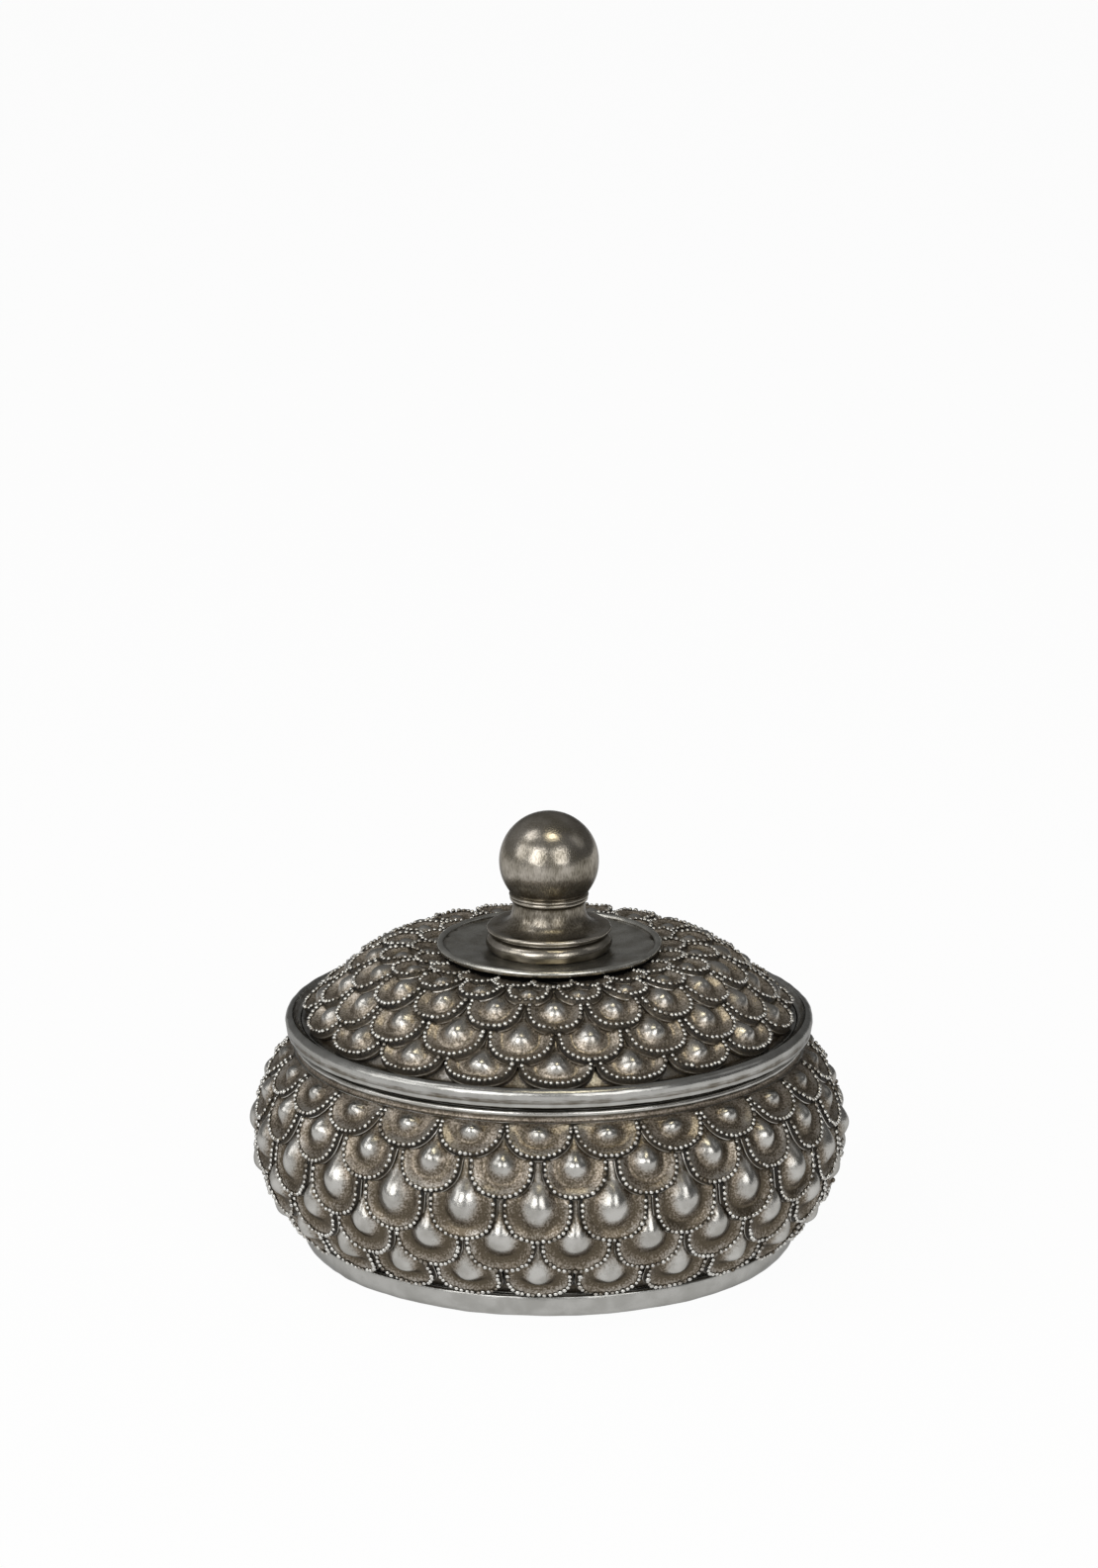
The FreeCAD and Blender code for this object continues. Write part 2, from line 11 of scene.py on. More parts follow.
import bmesh
import bpy
import numpy as np
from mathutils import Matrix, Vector


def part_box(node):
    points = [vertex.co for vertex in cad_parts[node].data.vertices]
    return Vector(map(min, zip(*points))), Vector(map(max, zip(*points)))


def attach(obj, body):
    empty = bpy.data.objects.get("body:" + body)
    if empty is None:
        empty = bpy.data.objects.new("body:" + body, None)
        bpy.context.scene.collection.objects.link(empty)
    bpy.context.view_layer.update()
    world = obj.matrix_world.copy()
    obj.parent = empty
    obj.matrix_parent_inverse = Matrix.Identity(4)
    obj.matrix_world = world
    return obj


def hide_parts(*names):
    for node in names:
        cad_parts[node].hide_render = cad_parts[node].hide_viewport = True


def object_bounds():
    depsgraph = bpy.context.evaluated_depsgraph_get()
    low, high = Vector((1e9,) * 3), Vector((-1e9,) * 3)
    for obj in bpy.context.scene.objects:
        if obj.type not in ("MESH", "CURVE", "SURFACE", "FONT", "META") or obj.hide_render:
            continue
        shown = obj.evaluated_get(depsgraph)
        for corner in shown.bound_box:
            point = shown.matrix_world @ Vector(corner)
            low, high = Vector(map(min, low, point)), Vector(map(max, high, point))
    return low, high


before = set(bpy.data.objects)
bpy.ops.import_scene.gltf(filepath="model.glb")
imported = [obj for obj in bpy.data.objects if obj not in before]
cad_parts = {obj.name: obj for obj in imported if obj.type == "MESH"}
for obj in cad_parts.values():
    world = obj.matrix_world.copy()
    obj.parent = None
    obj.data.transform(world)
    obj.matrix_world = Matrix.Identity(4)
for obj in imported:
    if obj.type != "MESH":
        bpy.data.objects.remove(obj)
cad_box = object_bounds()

print("CAD box:", [round(side, 4) for side in cad_box[1] - cad_box[0]])

# %% [markdown]
# ## The sizes that the pieces share
# Blender works in metres here, and a box this small is easier to describe in millimetres, so MM turns one into
# the other. Heights and radii come from the frame wherever a node gives them. Only the curves have to be named:
# the bowl's wall is one arc, the lid is an arc that runs out into a straight skirt, and the scales follow them.

# %% Ask the frame
MM = 0.001


def reach(node):
    """The outer radius of a turned node."""
    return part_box(node)[1].x


def foot_of(node):
    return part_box(node)[0].z


def top_of(node):
    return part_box(node)[1].z


print(f"the foot band reaches {reach('foot_ring') / MM:.1f} mm from the axis")

# %% The curves of bowl and lid
WALL_CURVE_RADIUS = 30 * MM
WALL_FOOT_ANGLE = math.radians(51.5)
WALL_TOP_ANGLE = math.radians(44.4)
DOME_CURVE_RADIUS = 20 * MM
DOME_SLOPE_ANGLE = math.radians(42)
DOME_SKIRT = 16.81 * MM
TROUGH_WIDTH = 1.6 * MM
wall_foot = foot_of("bowl_shell")
wall_top = top_of("bowl_shell")
belly_radius = reach("bowl_shell")
belly_height = wall_foot + WALL_CURVE_RADIUS * math.sin(WALL_FOOT_ANGLE)
wall_centre_radius = belly_radius - WALL_CURVE_RADIUS
wall_top_radius = wall_centre_radius + WALL_CURVE_RADIUS * math.cos(WALL_TOP_ANGLE)
mouth_top = top_of("mouth_ring")
lid_edge = reach("lid_shell")
dome_top = top_of("lid_shell")
dome_centre_height = dome_top - DOME_CURVE_RADIUS
shoulder_height = dome_centre_height + DOME_CURVE_RADIUS * math.cos(DOME_SLOPE_ANGLE)
trough_height = shoulder_height - DOME_SKIRT * math.sin(DOME_SLOPE_ANGLE)
dome_foot_radius = lid_edge - TROUGH_WIDTH
shoulder_radius = dome_foot_radius - DOME_SKIRT * math.cos(DOME_SLOPE_ANGLE)
dome_flat_radius = shoulder_radius - DOME_CURVE_RADIUS * math.sin(DOME_SLOPE_ANGLE)
print(f"belly {belly_radius / MM:.1f} mm at {belly_height / MM:.1f} mm, dome top at {dome_top / MM:.1f} mm")

# %% [markdown]
# ## Unevenness of handwork
# The real box was cast from a model worked by hand, so no band is perfectly round and no drop quite like the
# next. A sum of a few waves in seeded directions gives such a slow unevenness at any point in space. It needs
# no texture, it is the same at each run, and neighbouring pieces that share a place share its swell.

# %% Swell of the surface
SWELL_WAVES = 9
TRIAL_POINTS = 500
TRIAL_SPREAD = 70 * MM
TRIAL_LENGTH = 12 * MM


def swell(points, wavelength, seed):
    """Smooth values, mostly between -1 and 1, at points in space."""
    draw = np.random.default_rng(seed)
    waves = draw.normal(size=(SWELL_WAVES, 3))
    waves *= 2 * np.pi / wavelength / np.linalg.norm(waves, axis=1, keepdims=True)
    phases = draw.uniform(0, 2 * np.pi, SWELL_WAVES)
    return np.sin(points @ waves.T + phases).sum(axis=1) / math.sqrt(SWELL_WAVES)


trial_places = np.random.default_rng(1).uniform(-TRIAL_SPREAD, TRIAL_SPREAD, (TRIAL_POINTS, 3))
trial_swell = swell(trial_places, TRIAL_LENGTH, 1)
print(f"swell: from {trial_swell.min():.2f} to {trial_swell.max():.2f}")

# %% [markdown]
# ## Worn, grimy and shaded places
# An antique finish is bright leaf over a brown wash: rubbing clears the high places and the wash stays in the
# hollows. A shader could guess that from curvature while rendering, but we know each shape as we make it, so
# every mesh carries two numbers per point, worn and grime, and the materials read them. The second also holds
# the shade painted where pieces meet or hang over one another. They survive an export as well.

# %% A piece with its wear
# The second label carries grime in the hollows and also painted shade between and under parts
WEAR_AND_SHADE_LABELS = ("worn", "grime")


def smooth_step(value, low, high):
    """0 below low, 1 above high, and an even slope between."""
    share = np.clip((value - low) / (high - low), 0, 1)
    return share * share * (3 - 2 * share)


def make_piece(name, points, faces, worn, grime):
    """A mesh object from its points and faces, smooth shaded, with its wear and its painted shade as point
    attributes.
    """
    mesh = bpy.data.meshes.new(name)
    mesh.from_pydata(np.asarray(points).tolist(), [], faces)
    for label, values in zip(WEAR_AND_SHADE_LABELS, (worn, grime)):
        attribute = mesh.attributes.new(label, "FLOAT", "POINT")
        attribute.data.foreach_set("value", np.clip(values, 0, 1).astype(np.float32).ravel())
    mesh.shade_smooth()
    piece = bpy.data.objects.new(name, mesh)
    bpy.context.scene.collection.objects.link(piece)
    return piece


def dress(piece, body, slot, material, *nodes):
    """Puts a piece on its body in place of its CAD nodes, with its finish."""
    piece.data.materials.append(material)
    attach(piece, body)
    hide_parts(*nodes)
    print(f"{piece.name}: {len(piece.data.vertices)} points, {len(piece.data.polygons)} faces, on {body}")
    return piece


print("each point of a piece carries:", ", ".join(WEAR_AND_SHADE_LABELS))

# %% [markdown]
# ## Turned pieces
# Foot, mouth, rim, plate, stem and ball are all turned shapes: one outline spun about the vertical axis. A
# Screw modifier would spin a curve, but then the wear could not follow the outline. We spin it ourselves: arcs
# are written as arcs, every corner is eased as a casting's is, and the outline is cut into short steps so that
# the swell has points to move.

# %% Arcs and bows
ARC_STEP = math.radians(3)
BOW_POINTS = 12


def arc(radius, height, size, start, end):
    """Points of an outline on an arc about a centre, between two angles in degrees above the horizontal."""
    start, end = math.radians(start), math.radians(end)
    count = max(2, math.ceil(abs(end - start) / ARC_STEP))
    angles = np.linspace(start, end, count + 1)
    return [(radius + size * math.cos(a), height + size * math.sin(a)) for a in angles]


def bowed(start, end, bulge):
    """Points of a shallow arc between two points, swollen to the right of the way by a bulge."""
    start, end = np.array(start), np.array(end)
    way = end - start
    side = np.array((way[1], -way[0])) / np.linalg.norm(way)
    shares = np.linspace(0, 1, BOW_POINTS)
    return [tuple(start + way * s + side * bulge * 4 * s * (1 - s)) for s in shares]


print(f"a quarter of a circle has {len(arc(0, 0, MM, 0, 90))} points, a bow {BOW_POINTS}")

# %% Eased corners and even steps
TINY = 1e-7
STRAIGHT_ON = -0.94
EASE_SHARE = 0.45
EASE_POINTS = 5
TRIAL_SQUARE = [(MM, 0), (9 * MM, 0), (9 * MM, 8 * MM), (MM, 8 * MM)]


def eased(outline, ease):
    """A closed outline with each sharp corner rounded off."""
    soft = []
    for before, here, after in zip(outline[-1:] + outline[:-1], outline, outline[1:] + outline[:1]):
        before, here, after = np.array(before), np.array(here), np.array(after)
        back, on = before - here, after - here
        lengths = np.linalg.norm(back), np.linalg.norm(on)
        straight = back @ on < STRAIGHT_ON * lengths[0] * lengths[1]
        if straight or min(lengths) < TINY or here[0] < TINY:
            soft.append(tuple(here))
            continue
        reach_back = back / lengths[0] * min(ease, EASE_SHARE * lengths[0])
        reach_on = on / lengths[1] * min(ease, EASE_SHARE * lengths[1])
        for s in np.linspace(0, 1, EASE_POINTS):
            soft.append(tuple(here + reach_back * (1 - s) ** 2 + reach_on * s**2))
    return soft


def stepped(outline, step):
    """A closed outline as an array with no side longer than a step, running with its inside on the left."""
    points = []
    for here, after in zip(outline, outline[1:] + outline[:1]):
        here, after = np.array(here), np.array(after)
        length = np.linalg.norm(after - here)
        if length > TINY:
            count = math.ceil(length / step)
            points += [here + (after - here) * i / count for i in range(count)]
    points = np.array(points)
    following = np.roll(points, -1, axis=0)
    area = (points[:, 0] * following[:, 1] - points[:, 1] * following[:, 0]).sum()
    return points if area > 0 else points[::-1]


trial_line = stepped(eased(TRIAL_SQUARE, MM), MM)
print(f"a square of four corners has {len(trial_line)} points when it is eased and stepped")

# %% What stands out
def stand_out(points, span):
    """How far each point of a closed outline stands out from the chord between its neighbours a span away."""
    closed = np.vstack([points, points[:1]])
    along = np.concatenate([[0], np.cumsum(np.linalg.norm(np.diff(closed, axis=0), axis=1))])
    period = along[-1]
    here = along[:-1]
    before = [np.interp((here - span) % period, along, closed[:, k]) for k in range(2)]
    after = [np.interp((here + span) % period, along, closed[:, k]) for k in range(2)]
    chord = np.array(after) - np.array(before)
    chord /= np.maximum(np.linalg.norm(chord, axis=0), TINY)
    return (points[:, 0] - before[0]) * chord[1] - (points[:, 1] - before[1]) * chord[0]


print(f"the square's corners stand out by {stand_out(trial_line, MM).max() / MM:.2f} mm")

# %% Spin an outline
TURNS = 288
OUTLINE_STEP = 1.0 * MM
EASE = 0.3 * MM
WEAR_SPAN = 0.9 * MM
WEAR_HEIGHT = 0.22 * MM
DENT = 0.045 * MM
DENT_LENGTHS = (17 * MM, 5.5 * MM)
DENT_SEED = 7
UP = np.array((0, 0, 1))


def turned_faces(first, on_axis):
    """Faces between the rings of a turned piece, each ring given by its first point."""
    faces = []
    for i in range(len(first)):
        j = (i + 1) % len(first)
        for k in range(TURNS):
            low = [first[i]] if on_axis[i] else [first[i] + k, first[i] + (k + 1) % TURNS]
            high = [first[j]] if on_axis[j] else [first[j] + (k + 1) % TURNS, first[j] + k]
            if len(low) + len(high) > 2:
                faces.append(low + high)
    return faces


def turned_piece(name, outline, ease=EASE, dent=DENT, soot=1.0, darkening=None):
    """A closed outline of radius and height, spun about the vertical axis, a little uneven and worn on its
    edges. Soot is how much its hollows hold, and darkening says where else it is dark, mostly as painted
    shade between and under parts."""
    line = stepped(eased(list(outline), ease), OUTLINE_STEP)
    out = stand_out(line, WEAR_SPAN) / WEAR_HEIGHT
    dark = -out * soot + (darkening(line[:, 0], line[:, 1]) if darkening else 0)
    on_axis = line[:, 0] < TINY
    following = np.roll(line, -1, axis=0) - np.roll(line, 1, axis=0)
    normals = np.stack([following[:, 1], -following[:, 0]], axis=1)
    normals /= np.maximum(np.linalg.norm(normals, axis=1, keepdims=True), TINY)
    turns = np.linspace(0, 2 * np.pi, TURNS, endpoint=False)
    points, worn, grime, first = [], [], [], []
    for place, normal, stand, soot_and_shade, single in zip(line, normals, out, dark, on_axis):
        around = turns[:1] if single else turns
        across = np.stack([np.cos(around), np.sin(around), np.zeros_like(around)], axis=1)
        ring = across * place[0] + UP * place[1]
        lift = sum(swell(ring, length, DENT_SEED) for length in DENT_LENGTHS) * dent
        first.append(len(points))
        points += list(ring + (across * normal[0] + UP * normal[1]) * lift[:, None] * (not single))
        worn += [stand] * len(around)
        grime += [soot_and_shade] * len(around)
    return make_piece(name, points, turned_faces(first, on_axis), np.array(worn), np.array(grime))


print(f"a turned piece has {TURNS} points round it, and steps of {OUTLINE_STEP / MM:.0f} mm along its outline")

# %% [markdown]
# ## The antique finish
# Silver leaf, a brown wash and soot in the hollows make one finish with three layers. The black layer also
# paints the shade between and under parts that a piece's second number carries. The mask for each layer is the
# piece's own wear, broken up by noise at two sizes, because a rubbed finish has specks as well as clouds. The
# colours, the roughness and how metallic the surface is all follow the same masks, so a brown speck is also
# duller. One function makes the finish, and each kind of piece gets its own leaf, wash and polish.

# %% Node helpers
class Finish:
    """A material under construction: each call adds a node and hands back its output."""

    def __init__(self, name):
        self.material = bpy.data.materials.new(name)
        self.material.use_nodes = True
        self.nodes = self.material.node_tree.nodes
        self.links = self.material.node_tree.links
        self.shader = self.nodes["Principled BSDF"]

    def feed(self, socket, value):
        if isinstance(value, bpy.types.NodeSocket):
            self.links.new(value, socket)
        else:
            socket.default_value = value

    def add(self, kind, output, settings=None, **inputs):
        node = self.nodes.new(kind)
        for key, value in (settings or {}).items():
            setattr(node, key, value)
        for key, value in inputs.items():
            self.feed(node.inputs[key.replace("_", " ")], value)
        return node.outputs[output]

    def wear(self, label):
        return self.add("ShaderNodeAttribute", "Fac", {"attribute_name": label})

    def noise(self, size, detail, stretch=None):
        """Cloudy values around a half, with clouds of about this size."""
        place = self.add("ShaderNodeTexCoord", "Object")
        if stretch:
            place = self.add("ShaderNodeMapping", "Vector", Vector=place, Scale=stretch)
        return self.add("ShaderNodeTexNoise", "Fac", Vector=place, Scale=1 / size, Detail=detail)

    def math(self, operation, first, second):
        node = self.nodes.new("ShaderNodeMath")
        node.operation = operation
        self.feed(node.inputs[0], first)
        self.feed(node.inputs[1], second)
        return node.outputs[0]

    def plus(self, first, second):
        return self.math("ADD", first, second)

    def minus(self, first, second):
        return self.math("SUBTRACT", first, second)

    def times(self, first, second):
        return self.math("MULTIPLY", first, second)

    def step(self, value, low, high, start=0.0, end=1.0):
        settings = {"interpolation_type": "SMOOTHSTEP"}
        sizes = {"From_Min": low, "From_Max": high, "To_Min": start, "To_Max": end}
        return self.add("ShaderNodeMapRange", "Result", settings, Value=value, **sizes)

    def mix(self, share, first, second):
        """A colour between two, by a share."""
        node = self.nodes.new("ShaderNodeMix")
        node.data_type = "RGBA"
        for index, value in ((0, share), (6, first), (7, second)):
            self.feed(node.inputs[index], value)
        return node.outputs[2]

    def bump(self, height, depth, under=None):
        node = self.nodes.new("ShaderNodeBump")
        self.feed(node.inputs["Height"], height)
        node.inputs["Distance"].default_value = depth
        if under:
            self.feed(node.inputs["Normal"], under)
        return node.outputs["Normal"]


def colour(red, green, blue):
    return (red, green, blue, 1.0)


print("node helpers:", ", ".join(label for label in vars(Finish) if not label.startswith("_")))

# %% Leaf, wash and soot
SPECK = 0.48 * MM
SPECK_DETAIL = 3.0
SPECK_SHARE = 0.75
CLOUD = 5.5 * MM
CLOUD_DETAIL = 4.0
CLOUD_SHARE = 0.85
GRIME_AND_SHADE_COVER = 0.7
BARE_RANGE = (0.80, 1.60)
SOOT_AND_SHADE_BREAK = 0.6
SOOT_AND_SHADE_RANGE = (0.86, 1.36)
WASH_SPECKS = 1.3
WASH_CLOUDS = 0.35
WASH_SINK = 0.9
WASH_RANGE = (0.50, 1.08)
LEAF_RANGE = (0.32, 0.66)
WASH_DULLER = 0.10
SOOT_DULLER = 0.2
WASH_METAL = 0.80
SOOT_METAL = 0.3
GRAIN_DEPTH = 0.035 * MM
CLOUD_DEPTH = 0.10 * MM
# Near black for soot in the hollows and for the painted shade between and under parts
SOOT_AND_SHADE_BLACK = colour(0.010, 0.009, 0.008)


def antique(name, leaf, leaf_dull, wash, wash_pale, rub=0.0, stroke=None, edge=0.5, shine=0.27):
    """Leaf on the rubbed places, a brown wash below it and soot in the hollows, whose black also paints the
    shade between and under parts. Rub bares more or less leaf, a stroke draws the specks out along the
    polishing, edge is how much of the light a grazing look gives back, and shine is the leaf's roughness."""
    finish = Finish(name)
    sockets = finish.shader.inputs
    worn, grime = (finish.wear(label) for label in WEAR_AND_SHADE_LABELS)
    specks = finish.noise(SPECK, SPECK_DETAIL, stroke)
    clouds = finish.noise(CLOUD, CLOUD_DETAIL)
    broken = finish.plus(finish.times(specks, SPECK_SHARE), finish.times(clouds, CLOUD_SHARE))
    rubbed = finish.minus(finish.plus(worn, broken), finish.times(grime, GRIME_AND_SHADE_COVER))
    bare = finish.step(rubbed, *(end - rub for end in BARE_RANGE))
    soot_and_shade = finish.step(finish.plus(grime, finish.times(broken, SOOT_AND_SHADE_BREAK)), *SOOT_AND_SHADE_RANGE)
    speckled = finish.plus(finish.times(specks, WASH_SPECKS), finish.times(clouds, WASH_CLOUDS))
    sunk = finish.minus(speckled, finish.times(grime, WASH_SINK))
    brown = finish.mix(finish.step(sunk, *WASH_RANGE), wash, wash_pale)
    silver = finish.mix(finish.step(clouds, *LEAF_RANGE), leaf_dull, leaf)
    finish.feed(sockets["Base Color"], finish.mix(soot_and_shade, finish.mix(bare, brown, silver), SOOT_AND_SHADE_BLACK))
    dull = finish.step(bare, 0, 1, shine + WASH_DULLER, shine)
    finish.feed(sockets["Roughness"], finish.plus(dull, finish.step(soot_and_shade, 0, 1, 0, SOOT_DULLER)))
    metal = finish.step(bare, 0, 1, WASH_METAL, 1)
    finish.feed(sockets["Metallic"], finish.times(metal, finish.step(soot_and_shade, 0, 1, 1, SOOT_METAL)))
    sockets["Specular Tint"].default_value = colour(edge, edge, edge)
    grain = finish.bump(specks, GRAIN_DEPTH)
    finish.feed(sockets["Normal"], finish.bump(clouds, CLOUD_DEPTH, grain))
    return finish.material


print(f"specks of about {SPECK / MM:.2f} mm in clouds of about {CLOUD / MM:.1f} mm")

# %% The finishes of this box
LEAF = colour(0.49, 0.48, 0.455)
LEAF_DULL = colour(0.35, 0.34, 0.315)
BEAD_LEAF = colour(0.60, 0.59, 0.555)
WASH = colour(0.085, 0.068, 0.046)
WASH_PALE = colour(0.33, 0.283, 0.231)
BAND_LEAF = colour(0.42, 0.415, 0.395)
BAND_DULL = colour(0.34, 0.335, 0.315)
BAND_STROKE = (0.15, 0.15, 1.5)
INNER_LEAF = colour(0.34, 0.335, 0.32)
INNER_DULL = colour(0.24, 0.235, 0.22)
BRONZE_LEAF = colour(0.42, 0.385, 0.335)
BRONZE_DULL = colour(0.29, 0.265, 0.22)
BRONZE_WASH = colour(0.070, 0.058, 0.040)
BRONZE_PALE = colour(0.17, 0.148, 0.112)
BRONZE_STROKE = (1.4, 1.4, 0.35)
# Painted light: the lid's finish is a paler copy of the scales' finish, making up for the dimmer light on its
# top
LID_LEAF_LIT = colour(0.50, 0.485, 0.455)
LID_DULL_LIT = colour(0.38, 0.365, 0.335)
LID_WASH_LIT = colour(0.125, 0.104, 0.076)
LID_WASH_PALE_LIT = colour(0.47, 0.41, 0.34)
PLATE_LEAF = colour(0.50, 0.49, 0.45)
PLATE_DULL = colour(0.38, 0.37, 0.335)
wash = WASH, WASH_PALE
bronze_wash = BRONZE_WASH, BRONZE_PALE
scale_silver = antique("scale_silver", LEAF, LEAF_DULL, *wash)
lid_silver_lit_copy = antique("lid_silver_lit_copy", LID_LEAF_LIT, LID_DULL_LIT, LID_WASH_LIT, LID_WASH_PALE_LIT, rub=-0.1)
bead_silver = antique("bead_silver", BEAD_LEAF, LEAF, *wash, rub=0.15)
band_silver = antique("band_silver", BAND_LEAF, BAND_DULL, *wash, rub=0.6, stroke=BAND_STROKE, edge=0.45)
inner_silver = antique("inner_silver", INNER_LEAF, INNER_DULL, *wash, rub=0.4)
knob_bronze = antique(
    "knob_bronze", BRONZE_LEAF, BRONZE_DULL, *bronze_wash, rub=0.36, stroke=BRONZE_STROKE, shine=0.22)
plate_bronze = antique(
    "plate_bronze", PLATE_LEAF, PLATE_DULL, *bronze_wash, rub=0.5, stroke=BRONZE_STROKE, edge=0.6)
antiques = (scale_silver, lid_silver_lit_copy, bead_silver, band_silver, inner_silver, knob_bronze, plate_bronze)
print("finishes:", ", ".join(finish.name for finish in antiques))

# %% [markdown]
# ## The bowl under its scales
# The bowl is a hollow pot, a plain foot band below and a plain collar at the mouth. Most of its wall is hidden
# by scales. We draw the wall in a little behind them and paint it black there as shade, so that the seams
# between scales fall into a dark groove. The frame's own pot could stay, but it is smooth and new; ours has
# the swell and the soot of a used one, and that painted shade.

# %% Outlines of the bowl
BOWL_WALL = 5 * MM
BOWL_FLOOR = 4 * MM
WALL_SINK = 0.6 * MM
MOUTH_LAND = 5.3 * MM
MOUTH_BEAD = 0.85 * MM
MOUTH_BEAD_ANGLES = (-80, 90)
MOUTH_NECK = 0.5 * MM
FOOT_WIDTH = 9 * MM
FOOT_TAPER = 2.4 * MM
FOOT_BULGE = 0.9 * MM
FOOT_EASE = 0.5 * MM
FELT_CLEARANCE = 0.2 * MM
mouth_bore = wall_top_radius - MOUTH_LAND
foot_low = foot_of("foot_ring")
foot_radius = reach("foot_ring")
felt_low = foot_of("base_felt")
felt_top = top_of("base_felt")
felt_radius = reach("base_felt")


def bowl_shell():
    wall = WALL_CURVE_RADIUS - WALL_SINK
    inside = WALL_CURVE_RADIUS - BOWL_WALL
    floor_top = wall_foot + BOWL_FLOOR
    neck_angle = math.degrees(math.acos((mouth_bore - wall_centre_radius) / inside))
    floor_angle = math.degrees(math.asin((floor_top - belly_height) / inside))
    foot_angle, top_angle = math.degrees(WALL_FOOT_ANGLE), math.degrees(WALL_TOP_ANGLE)
    outside = arc(wall_centre_radius, belly_height, wall, -foot_angle, top_angle)
    hollow = arc(wall_centre_radius, belly_height, inside, neck_angle, floor_angle)
    edge = outside[0][0], wall_foot
    return [(0, wall_foot), edge, *outside, (mouth_bore, wall_top), *hollow, (0, floor_top)]


def mouth_ring():
    bead_radius = wall_top_radius - MOUTH_BEAD
    neck = bowed((wall_top_radius, wall_top), (bead_radius, mouth_top - 2 * MOUTH_BEAD), -MOUTH_NECK)
    bead = arc(bead_radius, mouth_top - MOUTH_BEAD, MOUTH_BEAD, *MOUTH_BEAD_ANGLES)
    return [(mouth_bore, wall_top), *neck, *bead, (mouth_bore, mouth_top)]


def foot_ring():
    bore = foot_radius - FOOT_TAPER - FOOT_WIDTH
    rebate = felt_radius + FELT_CLEARANCE
    side = bowed((foot_radius - FOOT_TAPER, foot_low), (foot_radius - FOOT_EASE, wall_foot), FOOT_BULGE)
    return [(rebate, foot_low), *side, (bore, wall_foot), (bore, felt_top), (rebate, felt_top)]


print(f"mouth {2 * mouth_bore / MM:.1f} mm wide inside, foot band {2 * foot_radius / MM:.1f} mm across")

# %% Where the bowl is dark
# How far the pot's painted shade eases to brown under the collar and above the foot
COLLAR_BROWN = 0.9
COLLAR_BROWN_BAND = (4 * MM, 1.5 * MM)
FOOT_BROWN = 0.6
FOOT_BROWN_BAND = (5 * MM, 2 * MM)
# Painted shade on the land, for the dark gap under the lid's rim
LAND_SHADE = 0.4
LAND_DEPTH = 0.2 * MM
LAND_EDGE = (0.9 * MM, 1.3 * MM)


def wall_shade(radius, height):
    """Painted shade: black where the pot shows between scales, eased to brown just under the collar and
    above the foot.
    """
    from_centre = np.hypot(radius - wall_centre_radius, height - belly_height)
    outside = (from_centre > WALL_CURVE_RADIUS - BOWL_WALL / 2) & (radius > wall_centre_radius)
    brown = COLLAR_BROWN * smooth_step(height, *(wall_top - depth for depth in COLLAR_BROWN_BAND))
    brown += FOOT_BROWN * smooth_step(-height, *(-wall_foot - rise for rise in FOOT_BROWN_BAND))
    return outside * (1 - brown)


def land_shade(radius, height):
    """Painted shade on the land that the lid sits on, for the dark gap under its rim."""
    on_land = height > mouth_top - LAND_DEPTH
    return LAND_SHADE * on_land * smooth_step(wall_top_radius - radius, *LAND_EDGE)


belly_shade = wall_shade(np.array([belly_radius]), np.array([belly_height]))[0]
# Painted shade on the pot where it shows between the scales
print(f"stain of the pot behind the scales: {belly_shade:.1f}")

# %% Pot, collar and foot band
pot = turned_piece("bowl_pot", bowl_shell(), darkening=wall_shade)
collar = turned_piece("mouth_collar", mouth_ring(), soot=0.0, darkening=land_shade)
foot = turned_piece("foot_band", foot_ring(), ease=FOOT_EASE)
dress(pot, "bowl", "antique_silver", inner_silver, "bowl_shell")
dress(collar, "bowl", "antique_silver", scale_silver, "mouth_ring")
dress(foot, "bowl", "antique_silver", band_silver, "foot_ring")

# %% [markdown]
# ## The lid under its scales
# The lid is a low dome with a flat top for the knob, a plain trough round its foot and a rounded rim at its
# edge. A ring under it drops into the mouth and keeps it from sliding off. All three are turned as the bowl is,
# and the dome's wall is drawn in behind the scales and painted black there as shade, as before.

# %% Outlines of the lid
DOME_WALL = 4 * MM
DOME_SHOULDER_FROM = 84
SEAT_GAP = 0.1 * MM
RIM_DRAFT = 0.5 * MM
RIM_CREST = 1.7 * MM
RIM_COVE = 0.35 * MM
RIM_WIDTH = 3.9 * MM
SCREW_HOLE = 2.75 * MM
LID_LAND = 2.5 * MM
LOCATING_WIDTH = 2.8 * MM
LOCATING_CHAMFER = 0.8 * MM
rim_radius = reach("lid_rim")
rim_low = foot_of("lid_rim")
rim_top = top_of("lid_rim")
locating_radius = reach("lid_locating_ring")
locating_low = foot_of("lid_locating_ring")
locating_top = top_of("lid_locating_ring")
locating_bore = locating_radius - LOCATING_WIDTH


